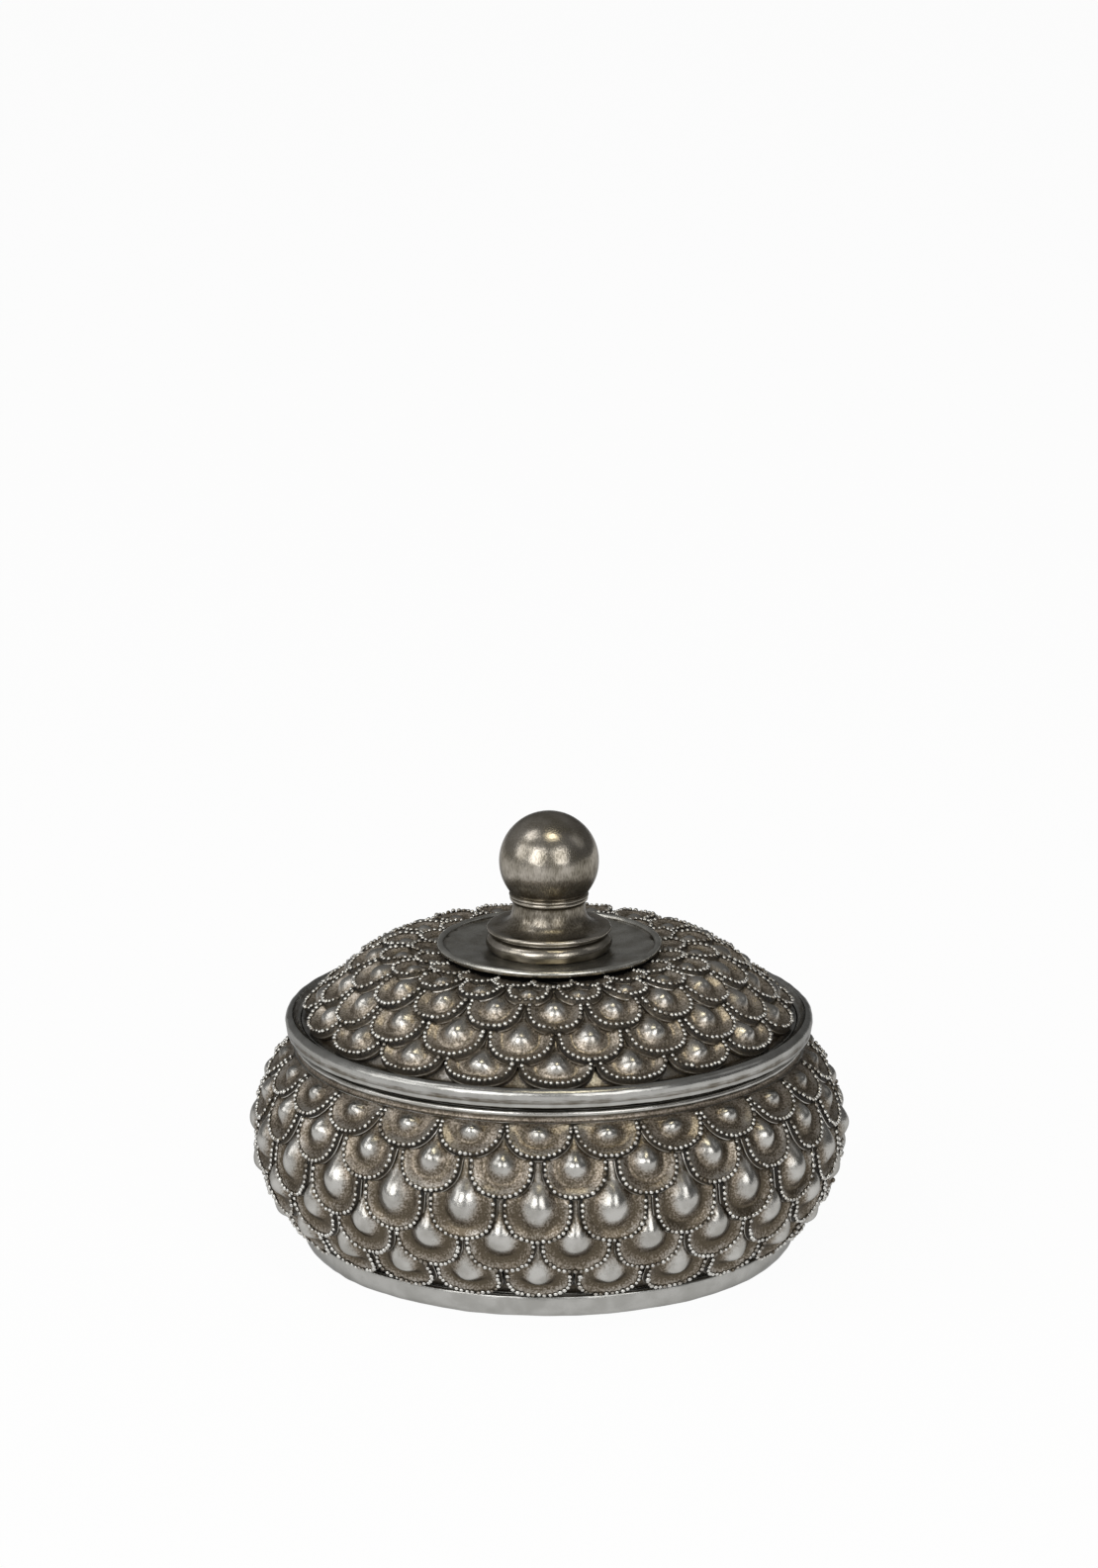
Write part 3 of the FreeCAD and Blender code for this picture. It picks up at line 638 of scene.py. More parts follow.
def lid_shell():
    slope = 90 - math.degrees(DOME_SLOPE_ANGLE)
    outer_curve, inner_curve = DOME_CURVE_RADIUS - WALL_SINK, DOME_CURVE_RADIUS - DOME_WALL
    shoulder = arc(dome_flat_radius, dome_centre_height, outer_curve, DOME_SHOULDER_FROM, slope)
    inside = arc(dome_flat_radius, dome_centre_height, inner_curve, slope, 90)
    skirt_foot = dome_foot_radius - WALL_SINK / math.sin(DOME_SLOPE_ANGLE)
    groove = locating_radius + SEAT_GAP, locating_bore - SEAT_GAP
    bore = groove[1] - LID_LAND
    skirt_end = inside[0][1] - (bore - inside[0][0]) * math.tan(DOME_SLOPE_ANGLE)
    return [
        (SCREW_HOLE, dome_top), (reach("knob_dish"), dome_top), *shoulder, (skirt_foot, trough_height),
        (lid_edge, trough_height), (lid_edge, mouth_top), (groove[0], mouth_top), (groove[0], locating_top),
        (groove[1], locating_top), (groove[1], mouth_top), (bore, mouth_top), (bore, skirt_end), *inside,
        (SCREW_HOLE, dome_top - DOME_WALL),
    ]


def lid_rim():
    bore = rim_radius - RIM_WIDTH
    crest = arc(rim_radius - RIM_CREST, rim_top - RIM_CREST, RIM_CREST, 0, 90)
    cove = bowed(crest[-1], (bore, trough_height), -RIM_COVE)
    return [(bore, rim_low), (rim_radius - RIM_DRAFT, rim_low), *crest, *cove]


def locating_ring():
    return [
        (locating_bore, locating_low), (locating_radius - LOCATING_CHAMFER, locating_low),
        (locating_radius, locating_low + LOCATING_CHAMFER), (locating_radius, locating_top),
        (locating_bore, locating_top),
    ]


print(f"lid {2 * rim_radius / MM:.1f} mm across, its seat {2 * locating_radius / MM:.1f} mm")

# %% Where the lid is dark
TROUGH_CLEAR = (6 * MM, 3 * MM)
EDGE_BELOW_TROUGH = 1 * MM
RIM_FACE_DARKENING = 0.75
RIM_FACE = (1.6 * MM, 0.8 * MM)
RIM_FACE_FOOT = 0.5 * MM
RIM_FACE_TOP_SHARE = 0.6


def dome_shade(radius, height):
    """Painted shade: black between the scales and on the edge under the rim, and clear in the trough."""
    off_arc = np.hypot(radius - dome_flat_radius, height - dome_centre_height) - DOME_CURVE_RADIUS
    across, up = math.sin(DOME_SLOPE_ANGLE), math.cos(DOME_SLOPE_ANGLE)
    off_skirt = (radius - dome_foot_radius) * across + (height - trough_height) * up
    outside = np.where(radius > shoulder_radius - DOME_WALL, off_skirt, off_arc) > -DOME_WALL / 2
    clear = smooth_step(radius, *(dome_foot_radius - inset for inset in TROUGH_CLEAR))
    edge = (radius > lid_edge - SEAT_GAP) & (height < trough_height - EDGE_BELOW_TROUGH)
    return (1 - clear) * (outside & (height > trough_height - SEAT_GAP)) + edge


def rim_face_darkening(radius, height):
    """Darker and duller on the upright face below the crest, most at its foot."""
    face = smooth_step(radius, *(rim_radius - inset for inset in RIM_FACE))
    rubbed = smooth_step(height, rim_low - RIM_FACE_FOOT, rim_top - RIM_FACE_TOP_SHARE * RIM_CREST)
    return RIM_FACE_DARKENING * face * (1 - rubbed)


rim_foot_darkening = rim_face_darkening(np.array([rim_radius]), np.array([rim_low]))[0]
# How dark the rim's face is at its foot
print(f"stain at the foot of the rim: {rim_foot_darkening:.2f}")

# %% Dome, rim and seat
LID_SOOT = 0.35
dome = turned_piece("lid_dome", lid_shell(), soot=LID_SOOT, darkening=dome_shade)
rim = turned_piece("lid_edge_rim", lid_rim(), soot=LID_SOOT, darkening=rim_face_darkening)
seat = turned_piece("lid_seat", locating_ring())
dress(dome, "lid", "antique_silver", inner_silver, "lid_shell")
dress(rim, "lid", "antique_silver", band_silver, "lid_rim")
dress(seat, "lid", "antique_silver", inner_silver, "lid_locating_ring")

# %% [markdown]
# ## The knob
# Four turned pieces make the knob: a plate with a rolled lip, a drum with a groove under its top, a stem with a
# thin flange, a hollow neck and a collar, and the ball. They are browner than the scales, because hands wear
# the leaf off a knob and the wash under it shows. The ball is hardly dented, or its highlights would break up.

# %% Outlines of the knob
PLATE_BASE = 21 * MM
PLATE_LIP = 0.9 * MM
PLATE_SAG = 0.25 * MM
PLATE_FLOOR_RADIUS = 16.5 * MM
DRUM_FOOT = 15 * MM
DRUM_GROOVE = 0.9 * MM
DRUM_GROOVE_HEIGHT = 0.6 * MM
FLANGE_THICKNESS = 1.3 * MM
NECK_FOOT = 14.6 * MM
NECK_TOP = 9 * MM
NECK_FLARE = 0.72
NECK_POINTS = 20
STEM_COLLAR_HEIGHT = 1.9 * MM
STEM_COLLAR_RADIUS = 10 * MM
STEM_COLLAR_RIDGE = 0.4 * MM
BALL_SEAT = 9.4 * MM
TAP_RADIUS = 2.55 * MM
TAP_DEPTH = 10 * MM
ring_low = foot_of("knob_ring")
ring_top = top_of("knob_ring")
flange_top = ring_top + FLANGE_THICKNESS
ball_low = foot_of("knob_ball")
ball_radius = reach("knob_ball")
ball_centre = top_of("knob_ball") - ball_radius


def knob_plate():
    lip_radius = reach("knob_dish") - PLATE_LIP
    lip_height = top_of("knob_dish") - PLATE_LIP
    lip = arc(lip_radius, lip_height, PLATE_LIP, -90, 180)
    well = bowed(lip[-1], (PLATE_FLOOR_RADIUS, ring_low), PLATE_SAG)
    return [(SCREW_HOLE, dome_top), (PLATE_BASE, dome_top), *lip, *well, (SCREW_HOLE, ring_low)]


def knob_drum():
    groove = DRUM_FOOT - DRUM_GROOVE
    bulge = reach("knob_ring") - DRUM_FOOT + DRUM_GROOVE / 2
    side = bowed((DRUM_FOOT, ring_low), (groove, ring_top - DRUM_GROOVE_HEIGHT), bulge)
    return [(SCREW_HOLE, ring_low), *side, (groove, ring_top), (SCREW_HOLE, ring_top)]


def knob_stem():
    edge = FLANGE_THICKNESS / 2
    collar_low = ball_low - STEM_COLLAR_HEIGHT
    flange = arc(reach("knob_stem") - edge, ring_top + edge, edge, -90, 90)
    size = NECK_FOOT - NECK_TOP, collar_low - flange_top
    angles = np.linspace(0, math.pi / 2, NECK_POINTS)
    turns = [(math.sin(a) ** NECK_FLARE, math.cos(a) ** NECK_FLARE) for a in angles]
    neck = [(NECK_FOOT - size[0] * across, collar_low - size[1] * up) for across, up in turns]
    groove = STEM_COLLAR_RADIUS - STEM_COLLAR_RIDGE, (collar_low + ball_low) / 2
    ridges = bowed(neck[-1], groove, STEM_COLLAR_RIDGE)
    ridges += bowed(groove, (BALL_SEAT, ball_low), STEM_COLLAR_RIDGE)[1:]
    return [(SCREW_HOLE, ring_top), *flange, *neck, *ridges, (SCREW_HOLE, ball_low)]


def knob_ball():
    seat_angle = -math.degrees(math.acos(BALL_SEAT / ball_radius))
    tap_end = ball_low + TAP_DEPTH
    top = arc(0, ball_centre, ball_radius, seat_angle, 90)[:-1]
    pole = 0, ball_centre + ball_radius
    return [(TAP_RADIUS, ball_low), *top, pole, (0, tap_end), (TAP_RADIUS, tap_end)]


print(f"ball {2 * ball_radius / MM:.1f} mm across, its middle at {ball_centre / MM:.1f} mm")

# %% Plate, drum, stem and ball
KNOB_EASE = 0.2 * MM
PLATE_SOOT = 0.1
DRUM_SOOT = 0.8
STALK_SOOT = 0.3
BALL_DENT = 0.01 * MM
BALL_STAIN_AND_SHADE = 0.6
BALL_STAIN_AND_SHADE_SHARES = (-0.6, 0.35)


def ball_stain_and_shade(radius, height):
    """Brown below the equator, where no hand rubs, and painted shade there that dims the floor's reflection."""
    rubbed = smooth_step(height, *(ball_centre + share * ball_radius for share in BALL_STAIN_AND_SHADE_SHARES))
    return BALL_STAIN_AND_SHADE * (1 - rubbed)


plate = turned_piece("knob_plate", knob_plate(), soot=PLATE_SOOT)
drum = turned_piece("knob_drum", knob_drum(), ease=KNOB_EASE, soot=DRUM_SOOT)
stalk = turned_piece("knob_stalk", knob_stem(), ease=KNOB_EASE, soot=STALK_SOOT)
sphere = turned_piece("knob_sphere", knob_ball(), ease=KNOB_EASE, dent=BALL_DENT, darkening=ball_stain_and_shade)
dress(plate, "lid", "bronzed_silver", plate_bronze, "knob_dish")
dress(drum, "lid", "bronzed_silver", knob_bronze, "knob_ring")
dress(stalk, "lid", "bronzed_silver", knob_bronze, "knob_stem")
dress(sphere, "lid", "bronzed_silver", knob_bronze, "knob_ball")

# %% [markdown]
# ## Where the scales go
# A row of scales follows a line down the wall. A place on that line is a run: the length below the start of the
# arc, less than nothing on the flat top of the lid. A scale is a U, half an ellipse with straight sides, that
# hangs from under the two rows above it. Every other row is turned by half a scale, as on a fish. An array
# modifier could repeat one scale, but each row has its own width, length and tilt, so we count the rows out.

# %% Lines down the walls
class WallLine:
    """The line that rows of scales follow down a turned wall, as radius and height of a run."""

    def __init__(self, centre_radius, centre_height, curve, top_angle, sweep, skirt=0.0):
        self.centre = centre_radius, centre_height
        self.curve = curve
        self.top_angle = top_angle
        self.arc_length = curve * sweep
        self.length = self.arc_length + skirt

    def slope(self, run):
        """The outward direction's angle above the horizontal."""
        return self.top_angle - np.clip(run, 0, self.arc_length) / self.curve

    def spot(self, run):
        slope = self.slope(run)
        straight = np.minimum(run, 0) + np.maximum(run - self.arc_length, 0)
        radius = self.centre[0] + self.curve * np.cos(slope) + straight * np.sin(slope)
        return radius, self.centre[1] + self.curve * np.sin(slope) - straight * np.cos(slope)


wall_sweep = WALL_TOP_ANGLE + WALL_FOOT_ANGLE
bowl_line = WallLine(wall_centre_radius, belly_height, WALL_CURVE_RADIUS, WALL_TOP_ANGLE, wall_sweep)
lid_line = WallLine(
    dome_flat_radius, dome_centre_height, DOME_CURVE_RADIUS, math.pi / 2, DOME_SLOPE_ANGLE, DOME_SKIRT)
print(f"lines: {bowl_line.length / MM:.1f} mm down the bowl, {lid_line.length / MM:.1f} mm down the lid")

# %% Rows on a line
FRONT = -math.pi / 2


class ScaleRow:
    """One row: how many scales, how they are turned, and the U and the drop of one scale."""

    def __init__(self, line, count, turn, space, end, end_above, tip_share, drop, wash, stand):
        self.line = line
        self.count = count
        self.turn = turn
        self.pitch = 2 * math.pi / count
        self.half_width = line.spot((end + end_above) / 2)[0] * self.pitch / 2 - space / 2
        self.depth = self.half_width * tip_share
        self.run = end - line.curve * math.asin(self.depth / line.curve)
        self.end = end
        sizes = (size * MM for size in drop)
        self.drop_half, self.drop_down, self.drop_up, self.drop_middle, self.drop_rise = sizes
        self.wash = wash
        self.stand = stand


def rows_on(line, count, phase, spaces, end_shares, tip_shares, drops, washes, stands):
    rows = []
    ends = [share * line.length for share in end_shares]
    for i, drop in enumerate(drops):
        end_above = ends[i - 1] if i else min(0, ends[0])
        turn = FRONT + math.radians(phase) + (i % 2) * math.pi / count
        space = spaces[i] * MM
        finish = washes[i], stands[i] * MM
        rows.append(ScaleRow(line, count, turn, space, ends[i], end_above, tip_shares[i], drop, *finish))
    return rows


print(f"the first scale of a row is at {math.degrees(FRONT):.0f} degrees, the front, and a few more")

# %% The rows of this box
BOWL_COUNT = 25
BOWL_PHASE = -2.1
LID_COUNT = 19
LID_PHASE = 1.85

# The space between the scales of each row, in millimetres, and where each row ends on its line
BOWL_SPACES = (0.5, 2.3, 1.7, 0.8, 0.8)
LID_SPACES = (1.0, 2.0, 1.6, 1.5, 1.8)
BOWL_END_SHARES = (0.186, 0.369, 0.582, 0.753, 0.94)
LID_END_SHARES = (0.012, 0.247, 0.518, 0.805, 1.003)

# How deep the tip of each row's U is, as a share of half its width
BOWL_TIP_SHARES = (0.95, 0.95, 0.95, 0.95, 0.8)
LID_TIP_SHARES = (0.85, 0.9, 0.85, 0.85, 0.65)

# The drop of each row's scales in millimetres: half width, reach down and up, middle above the U's, rise
BOWL_DROPS = (
    (3.4, 3.0, 2.9, -1.3, 1.6),
    (4.1, 4.3, 4.8, 0.5, 2.2),
    (5.1, 5.7, 7.4, 0.6, 2.7),
    (5.0, 4.9, 6.8, 0.6, 2.5),
    (4.6, 4.4, 6.4, 1.4, 2.3),
)
LID_DROPS = (
    (1.5, 1.5, 2.0, 0.0, 0.0),
    (2.7, 2.4, 3.2, 0.4, 1.2),
    (3.8, 3.8, 5.0, 1.2, 2.0),
    (4.3, 4.0, 5.8, 0.7, 2.3),
    (4.3, 3.4, 5.8, 0.0, 2.2),
)

# How much of the brown wash the dishes of each row keep; less than nothing, on the lid, takes back part of
# the painted shade round the drops and paints the dishes paler
BOWL_WASHES = (0.0, 0.0, 0.15, 0.20, 0.22)
LID_WASHES = (0.15, 0.05, -0.1, -0.1, -0.1)

# How far the tips of each row's scales stand off the wall, in millimetres
BOWL_STANDS = (1.5, 1.5, 1.5, 1.5, 1.5)
LID_STANDS = (1.2, 1.8, 2.1, 2.2, 2.2)
bowl_rows = rows_on(
    bowl_line, BOWL_COUNT, BOWL_PHASE, BOWL_SPACES, BOWL_END_SHARES, BOWL_TIP_SHARES, BOWL_DROPS, BOWL_WASHES,
    BOWL_STANDS)
lid_rows = rows_on(
    lid_line, LID_COUNT, LID_PHASE, LID_SPACES, LID_END_SHARES, LID_TIP_SHARES, LID_DROPS, LID_WASHES,
    LID_STANDS)
for label, rows in (("bowl", bowl_rows), ("lid", lid_rows)):
    print(label, "scale widths in mm:", [round(2 * row.half_width / MM, 1) for row in rows])

# %% [markdown]
# ## What hangs over a scale
# The upper part of a scale is under the two rows above. To know which part, we need the distance from a point
# to another scale's U, less than nothing inside it. With it we sink the hidden part, keep beads off it, and
# paint shadow along the line where a scale goes under its neighbours. A boolean cut would do the first of
# these, but not the other two.

# %% Distance to the scales above
U_POWER = 2.25
LEAST_OVAL = 1e-3
FAR_OFF = 1.0
TRIAL_ROW = 2
TRIAL_DEPTH = 5 * MM


def u_turn(half_width, depth, count):
    """Points along the rounded tip of a U, from left to right: an ellipse, a little squared."""
    turn = np.linspace(np.pi, 2 * np.pi, count)
    across = np.sign(np.cos(turn)) * np.abs(np.cos(turn)) ** (2 / U_POWER)
    return half_width * across, -depth * np.abs(np.sin(turn)) ** (2 / U_POWER)


def u_distance(x, y, half_width, depth):
    """How far a point is outside a U whose middle is the origin, along the line to the middle below it."""
    oval = (np.abs(x / half_width) ** U_POWER + np.abs(y / depth) ** U_POWER) ** (1 / U_POWER)
    tip = (1 - 1 / np.maximum(oval, LEAST_OVAL)) * np.hypot(x, y)
    return np.where(y < 0, tip, np.abs(x) - half_width)


def overhang(rows, index, x, y):
    """How far points of a scale of one row are outside the scales above it."""
    row = rows[index]
    clear = np.full(np.shape(x), FAR_OFF)
    half_pitch = row.line.spot(row.run - y)[0] * row.pitch / 2
    if index >= 1:
        above = rows[index - 1]
        for side in (-1, 1):
            away = u_distance(x + side * half_pitch, y + above.run - row.run, above.half_width, above.depth)
            clear = np.minimum(clear, away)
    if index >= 2:
        above = rows[index - 2]
        clear = np.minimum(clear, u_distance(x, y + above.run - row.run, above.half_width, above.depth))
    return clear


tip_clear = float(overhang(bowl_rows, TRIAL_ROW, 0.0, -TRIAL_DEPTH))
print(f"near its tip a scale of row {TRIAL_ROW + 1} is clear by {tip_clear / MM:.1f} mm")

# %% [markdown]
# ## One scale
# A scale could be sculpted, but two hundred alike call for a formula. We lay a net over the U, its rays running
# from the middle of the drop to the border, and give each knot a height: the plate tilts outward towards its
# tip, sinks into a dish inside the border, and swells into the drop. Beyond the border it falls to a narrow
# ledge and then into the wall, and a flat underside closes it.

# %% The net of a scale
TIP_POINTS = 30
SIDE_POINTS = 9
TOP_POINTS = 6
INNER_RINGS = 11
BORDER_RINGS = tuple(distance * MM for distance in (1.25, 0.95, 0.65, 0.36, 0.14, 0.0))
LEDGE_RINGS = tuple(distance * MM for distance in (0.08, 0.34, 0.36))
TRIAL_RISE = 12 * MM


def u_line(half_width, depth, rise):
    """The closed outline of a scale, from its upper left corner down and round."""
    down = np.linspace(rise, 0, SIDE_POINTS, endpoint=False)
    tip_x, tip_y = u_turn(half_width, depth, TIP_POINTS)
    back = np.linspace(half_width, -half_width, TOP_POINTS + 1)[:-1]
    x = np.concatenate([np.full_like(down, -half_width), tip_x, np.full_like(down, half_width)[1:]])
    y = np.concatenate([down, tip_y, down[::-1][:-1]])
    return np.concatenate([x, back]), np.concatenate([y, np.full_like(back, rise)])


def u_rays(row, rise):
    """A scale's outline seen from the middle of its drop: its points, that middle and how far they are."""
    x, y = u_line(row.half_width, row.depth, rise)
    middle = min(row.drop_middle, rise / 2)
    return x, y, middle, np.hypot(x, y - middle)


def scale_net(row, rise):
    """Places on a scale, ring by ring from the middle, and their distance to its outline."""
    x, y, middle, away = u_rays(row, rise)
    field = away - BORDER_RINGS[0]
    rings = [field * (i + 1) / (INNER_RINGS + 1) for i in range(INNER_RINGS)]
    rings += [away - distance for distance in BORDER_RINGS]
    shares = np.array(rings) / away
    net_x = np.concatenate([[0.0], (shares * x).ravel()])
    net_y = np.concatenate([[middle], (middle + shares * (y - middle)).ravel()])
    inward = np.maximum(-u_distance(net_x, net_y, row.half_width, row.depth), 0)
    return net_x, net_y, inward, len(x)


def ledge_net(row, rise):
    """Places just outside a scale's outline, ring by ring, for the ledge at the foot of its edge."""
    x, y, middle, away = u_rays(row, rise)
    shares = np.array([(away + distance) / away for distance in LEDGE_RINGS])
    return (shares * x).ravel(), (middle + shares * (y - middle)).ravel()


def net_faces(rays, points):
    """Faces of the net, of the wall below its last ring and of the underside."""
    rings = (points - 1) // rays
    faces = []
    for k in range(rays):
        after = (k + 1) % rays
        faces.append((0, 1 + k, 1 + after))
        for ring in range(rings):
            low, high = 1 + ring * rays, 1 + (ring + 1) * rays
            faces.append((low + k, high + k, high + after, low + after))
        foot_ring_start = 1 + rings * rays
        faces.append((foot_ring_start + rays, foot_ring_start + after, foot_ring_start + k))
    return faces


trial_scale = bowl_rows[TRIAL_ROW]
trial_x, trial_y, trial_inward, trial_rays = scale_net(trial_scale, TRIAL_RISE)
print(f"a scale's net has {len(trial_x)} knots on {trial_rays} rays")

# %% The height of a scale
ROOT_STAND = 0.45 * MM
DISH_SHARE = 0.90
DISH_WIDTH = 3.4 * MM
BORDER_MIDDLE = 0.65 * MM
BORDER_FALL = 0.75 * MM
BORDER_FALL_SHARE = 0.8
HIDDEN_DEPTH = -0.7 * MM
HIDDEN_EDGE = (0.15 * MM, 1.2 * MM)
COLLAR_FADE = (-0.2 * MM, 3.2 * MM)
DROP_TAPER = 0.42
DROP_TAPER_POWER = 1.5
DROP_ROUND_POWER = 1.6


def border_stand(row, rise, y, fades):
    """How high a scale's border stands off the wall: most at its tip, and nothing under the collar."""
    high = ROOT_STAND + (row.stand - ROOT_STAND) * np.clip((rise - y) / (rise + row.depth), 0, 1)
    if fades:
        high = high * smooth_step(row.run - y, *COLLAR_FADE)
    return high


def drop_reach(row, x, y):
    """0 in the middle of the drop and 1 at its foot: round below and drawn out to a soft point above."""
    up = y - row.drop_middle
    along = np.where(up > 0, up / row.drop_up, up / row.drop_down)
    half = row.drop_half * (1 - DROP_TAPER * np.clip(along, 0, 1) ** DROP_TAPER_POWER)
    return np.hypot(x / half, along)


def drop_shape(row, x, y):
    """The drop's height as a share of its rise."""
    return np.clip(1 - drop_reach(row, x, y) ** 2, 0, 1) ** DROP_ROUND_POWER


def scale_height(row, rise, x, y, inward, clear, fades):
    high = border_stand(row, rise, y, fades)
    dished = smooth_step(inward, BORDER_MIDDLE, DISH_WIDTH)
    shoulder = 1 - smooth_step(inward, 0, BORDER_MIDDLE * BORDER_FALL_SHARE)
    height = high * (1 - DISH_SHARE * dished) - BORDER_FALL * shoulder * high / row.stand
    height = height + row.drop_rise * drop_shape(row, x, y)
    hidden = smooth_step(-clear, *HIDDEN_EDGE)
    return height + (HIDDEN_DEPTH - height) * hidden


trial_clear = overhang(bowl_rows, TRIAL_ROW, trial_x, trial_y)
trial_height = scale_height(trial_scale, TRIAL_RISE, trial_x, trial_y, trial_inward, trial_clear, True)
print(f"its drop stands {trial_height.max() / MM:.1f} mm off the wall")

# %% [markdown]
# ## The wear and painted shade of a scale
# On the real box the drops are rubbed bright, the dishes keep a speckled brown, and both sides of the bead line
# are black. The seams where a scale goes under its neighbours are black too; here that is painted shadow, and
# so is part of a dark ring round the foot of each drop, heavier below it, over the patina in that hollow. It
# could be painted by hand, scale by scale. The same distances that shape the scale say which is which, so we
# let them paint it.

# %% Wear and painted shade of a scale
DROP_WEAR = (0.15, 0.98)
SCALE_LIP = (1.3 * MM, 3.6 * MM)
SCALE_LIP_WEAR = 0.24
SCALE_LIP_CLEAN = 0.7
SCALE_NECK = (3 * MM, 8 * MM)
SCALE_NECK_WEAR = 0.40
BEAD_LINE = (0.75 * MM, 1.15 * MM)
BEAD_LINE_GRIME = 0.72
SEAM = (0.05 * MM, 0.5 * MM)
# Painted shadow along the line where a scale goes under the edges of its neighbours
SEAM_SHADE = 0.85
DROP_FOOT = 1.05
DROP_FOOT_WIDTH = 0.28
# Patina in the hollow round each drop's foot, and painted shade there that is lighter above the drop's middle
DROP_FOOT_PATINA_AND_SHADE = 0.22
DROP_TOP = (-1 * MM, 3 * MM)
DROP_TOP_LESS_SHADE = 0.6
DISH_REACH = (0.7, 1.1)


def scale_wear_and_shade(row, x, y, inward, clear):
    reach_out = drop_reach(row, x, y)
    lip = 1 - smooth_step(inward, *SCALE_LIP)
    neck = smooth_step(y, *SCALE_NECK)
    worn = 1.0 - smooth_step(reach_out, *DROP_WEAR) + SCALE_LIP_WEAR * lip + SCALE_NECK_WEAR * neck
    under_beads = BEAD_LINE_GRIME * (1 - smooth_step(inward, *BEAD_LINE))
    shadow_under_edge = SEAM_SHADE * (1 - smooth_step(clear, *SEAM))
    below = 1 - DROP_TOP_LESS_SHADE * smooth_step(y - row.drop_middle, *DROP_TOP)
    foot_grime = DROP_FOOT_PATINA_AND_SHADE * np.exp(-(((reach_out - DROP_FOOT) / DROP_FOOT_WIDTH) ** 2)) * below
    dish_grime = row.wash * smooth_step(reach_out, *DISH_REACH) * (1 - SCALE_LIP_CLEAN * lip)
    return worn, np.maximum(np.maximum(under_beads, shadow_under_edge), foot_grime + dish_grime)


trial_worn, trial_grime = scale_wear_and_shade(trial_scale, trial_x, trial_y, trial_inward, trial_clear)
print(f"over a scale's knots worn is {trial_worn.mean():.2f} and grime {trial_grime.mean():.2f} on average")

# %% [markdown]
# ## Laying the rows
# All scales of a row share one net. Each is bent onto the wall at its own place round the box, a little
# different in its drop and its swell, and a row becomes one piece, as the row is one node of the frame. Linked
# copies would save memory, but then all drops of a row would be the same.

# %% A place on the wall
ROW_RISE = 1.5 * MM


def on_wall(row, turn, x, y, height):
    """Points at a place on a scale and a height off the wall, for the scale at a turn."""
    radius, level = row.line.spot(row.run - y)
    slope = row.line.slope(row.run - y)
    around = turn + x / radius
    out = radius + height * np.cos(slope)
    return np.stack([out * np.cos(around), out * np.sin(around), level + height * np.sin(slope)], axis=-1)


def rise_of(rows, index, top_run):
    """How far a scale's sides go up: to the tip of the scale two rows above, or to where the rows start."""
    row = rows[index]
    top = rows[index - 2].end - ROW_RISE if index >= 2 else top_run
    return row.run - max(top, top_run)


bowl_rises = [rise_of(bowl_rows, i, 0.0) for i in range(len(bowl_rows))]
print("the sides of the bowl's scales rise in mm by:", [round(rise / MM, 1) for rise in bowl_rises])

# %% Scale rows
SCALE_SINK = 1.0 * MM
DROP_SPREAD = 0.05
DROP_COVER = (-0.5 * MM, 0.2 * MM)
LEDGE_HEIGHTS = np.array((0.75, 0.60, 0.25)) * MM
LEDGE_DROP = 0.12 * MM
LEDGE_WEAR = (0.0, 0.9, 0.4)
# Painted shade on each scale's edge wall below its border and at the ledge's foot
LEDGE_SHADE = (0.65, 0.1, 0.45)
SCALE_DENT = 0.06 * MM
SCALE_DENT_LENGTH = 4.2 * MM
SCALE_DENT_FROM = 1.2 * MM


def scale_row(name, rows, index, top_run, fades, seed):
    row = rows[index]
    rise = rise_of(rows, index, top_run)
    x, y, inward, rays = scale_net(row, rise)
    clear = overhang(rows, index, x, y)
    height = scale_height(row, rise, x, y, inward, clear, fades)
    worn, grime = scale_wear_and_shade(row, x, y, inward, clear)
    drop = row.drop_rise * drop_shape(row, x, y) * smooth_step(clear, *DROP_COVER)
    ledge_x, ledge_y = ledge_net(row, rise)
    edge = np.tile(height[-rays:], len(LEDGE_RINGS))
    ledge = np.minimum(np.repeat(LEDGE_HEIGHTS, rays), edge - LEDGE_DROP)
    foot_x = np.concatenate([ledge_x[-rays:], [0.0]])
    foot_y = np.concatenate([ledge_y[-rays:], y[:1]])
    net = net_faces(rays, len(x) + len(ledge_x))
    draw = np.random.default_rng(seed)
    points, faces = [], []
    for i in range(row.count):
        turn = row.turn + i * row.pitch
        dents = swell(on_wall(row, turn, x, y, 0 * x), SCALE_DENT_LENGTH, seed) * SCALE_DENT
        own = height + drop * draw.normal(0, DROP_SPREAD) + dents * smooth_step(inward, 0, SCALE_DENT_FROM)
        start = sum(len(part) for part in points)
        points.append(on_wall(row, turn, x, y, own))
        points.append(on_wall(row, turn, ledge_x, ledge_y, ledge))
        points.append(on_wall(row, turn, foot_x, foot_y, np.full_like(foot_x, -SCALE_SINK)))
        faces += [tuple(start + k for k in face) for face in net]
    worn = np.concatenate([worn, np.repeat(LEDGE_WEAR, rays), np.zeros(rays + 1)])
    # The underside of each scale is painted black as shade
    grime = np.concatenate([grime, np.repeat(LEDGE_SHADE, rays), np.ones(rays + 1)])
    wear = (np.tile(values, row.count) for values in (worn, grime))
    return make_piece(name, np.concatenate(points), faces, *wear)


# %% Clad the bowl and the lid
BOWL_CLAD_FROM = 0.0
PLATE_LAP = 1.5 * MM
LID_CLAD_FROM = reach("knob_dish") - PLATE_LAP - dome_flat_radius
SCALE_FINISHES = {"bowl": scale_silver, "lid": lid_silver_lit_copy}
SCALE_SEEDS = {"bowl": 20, "lid": 40}

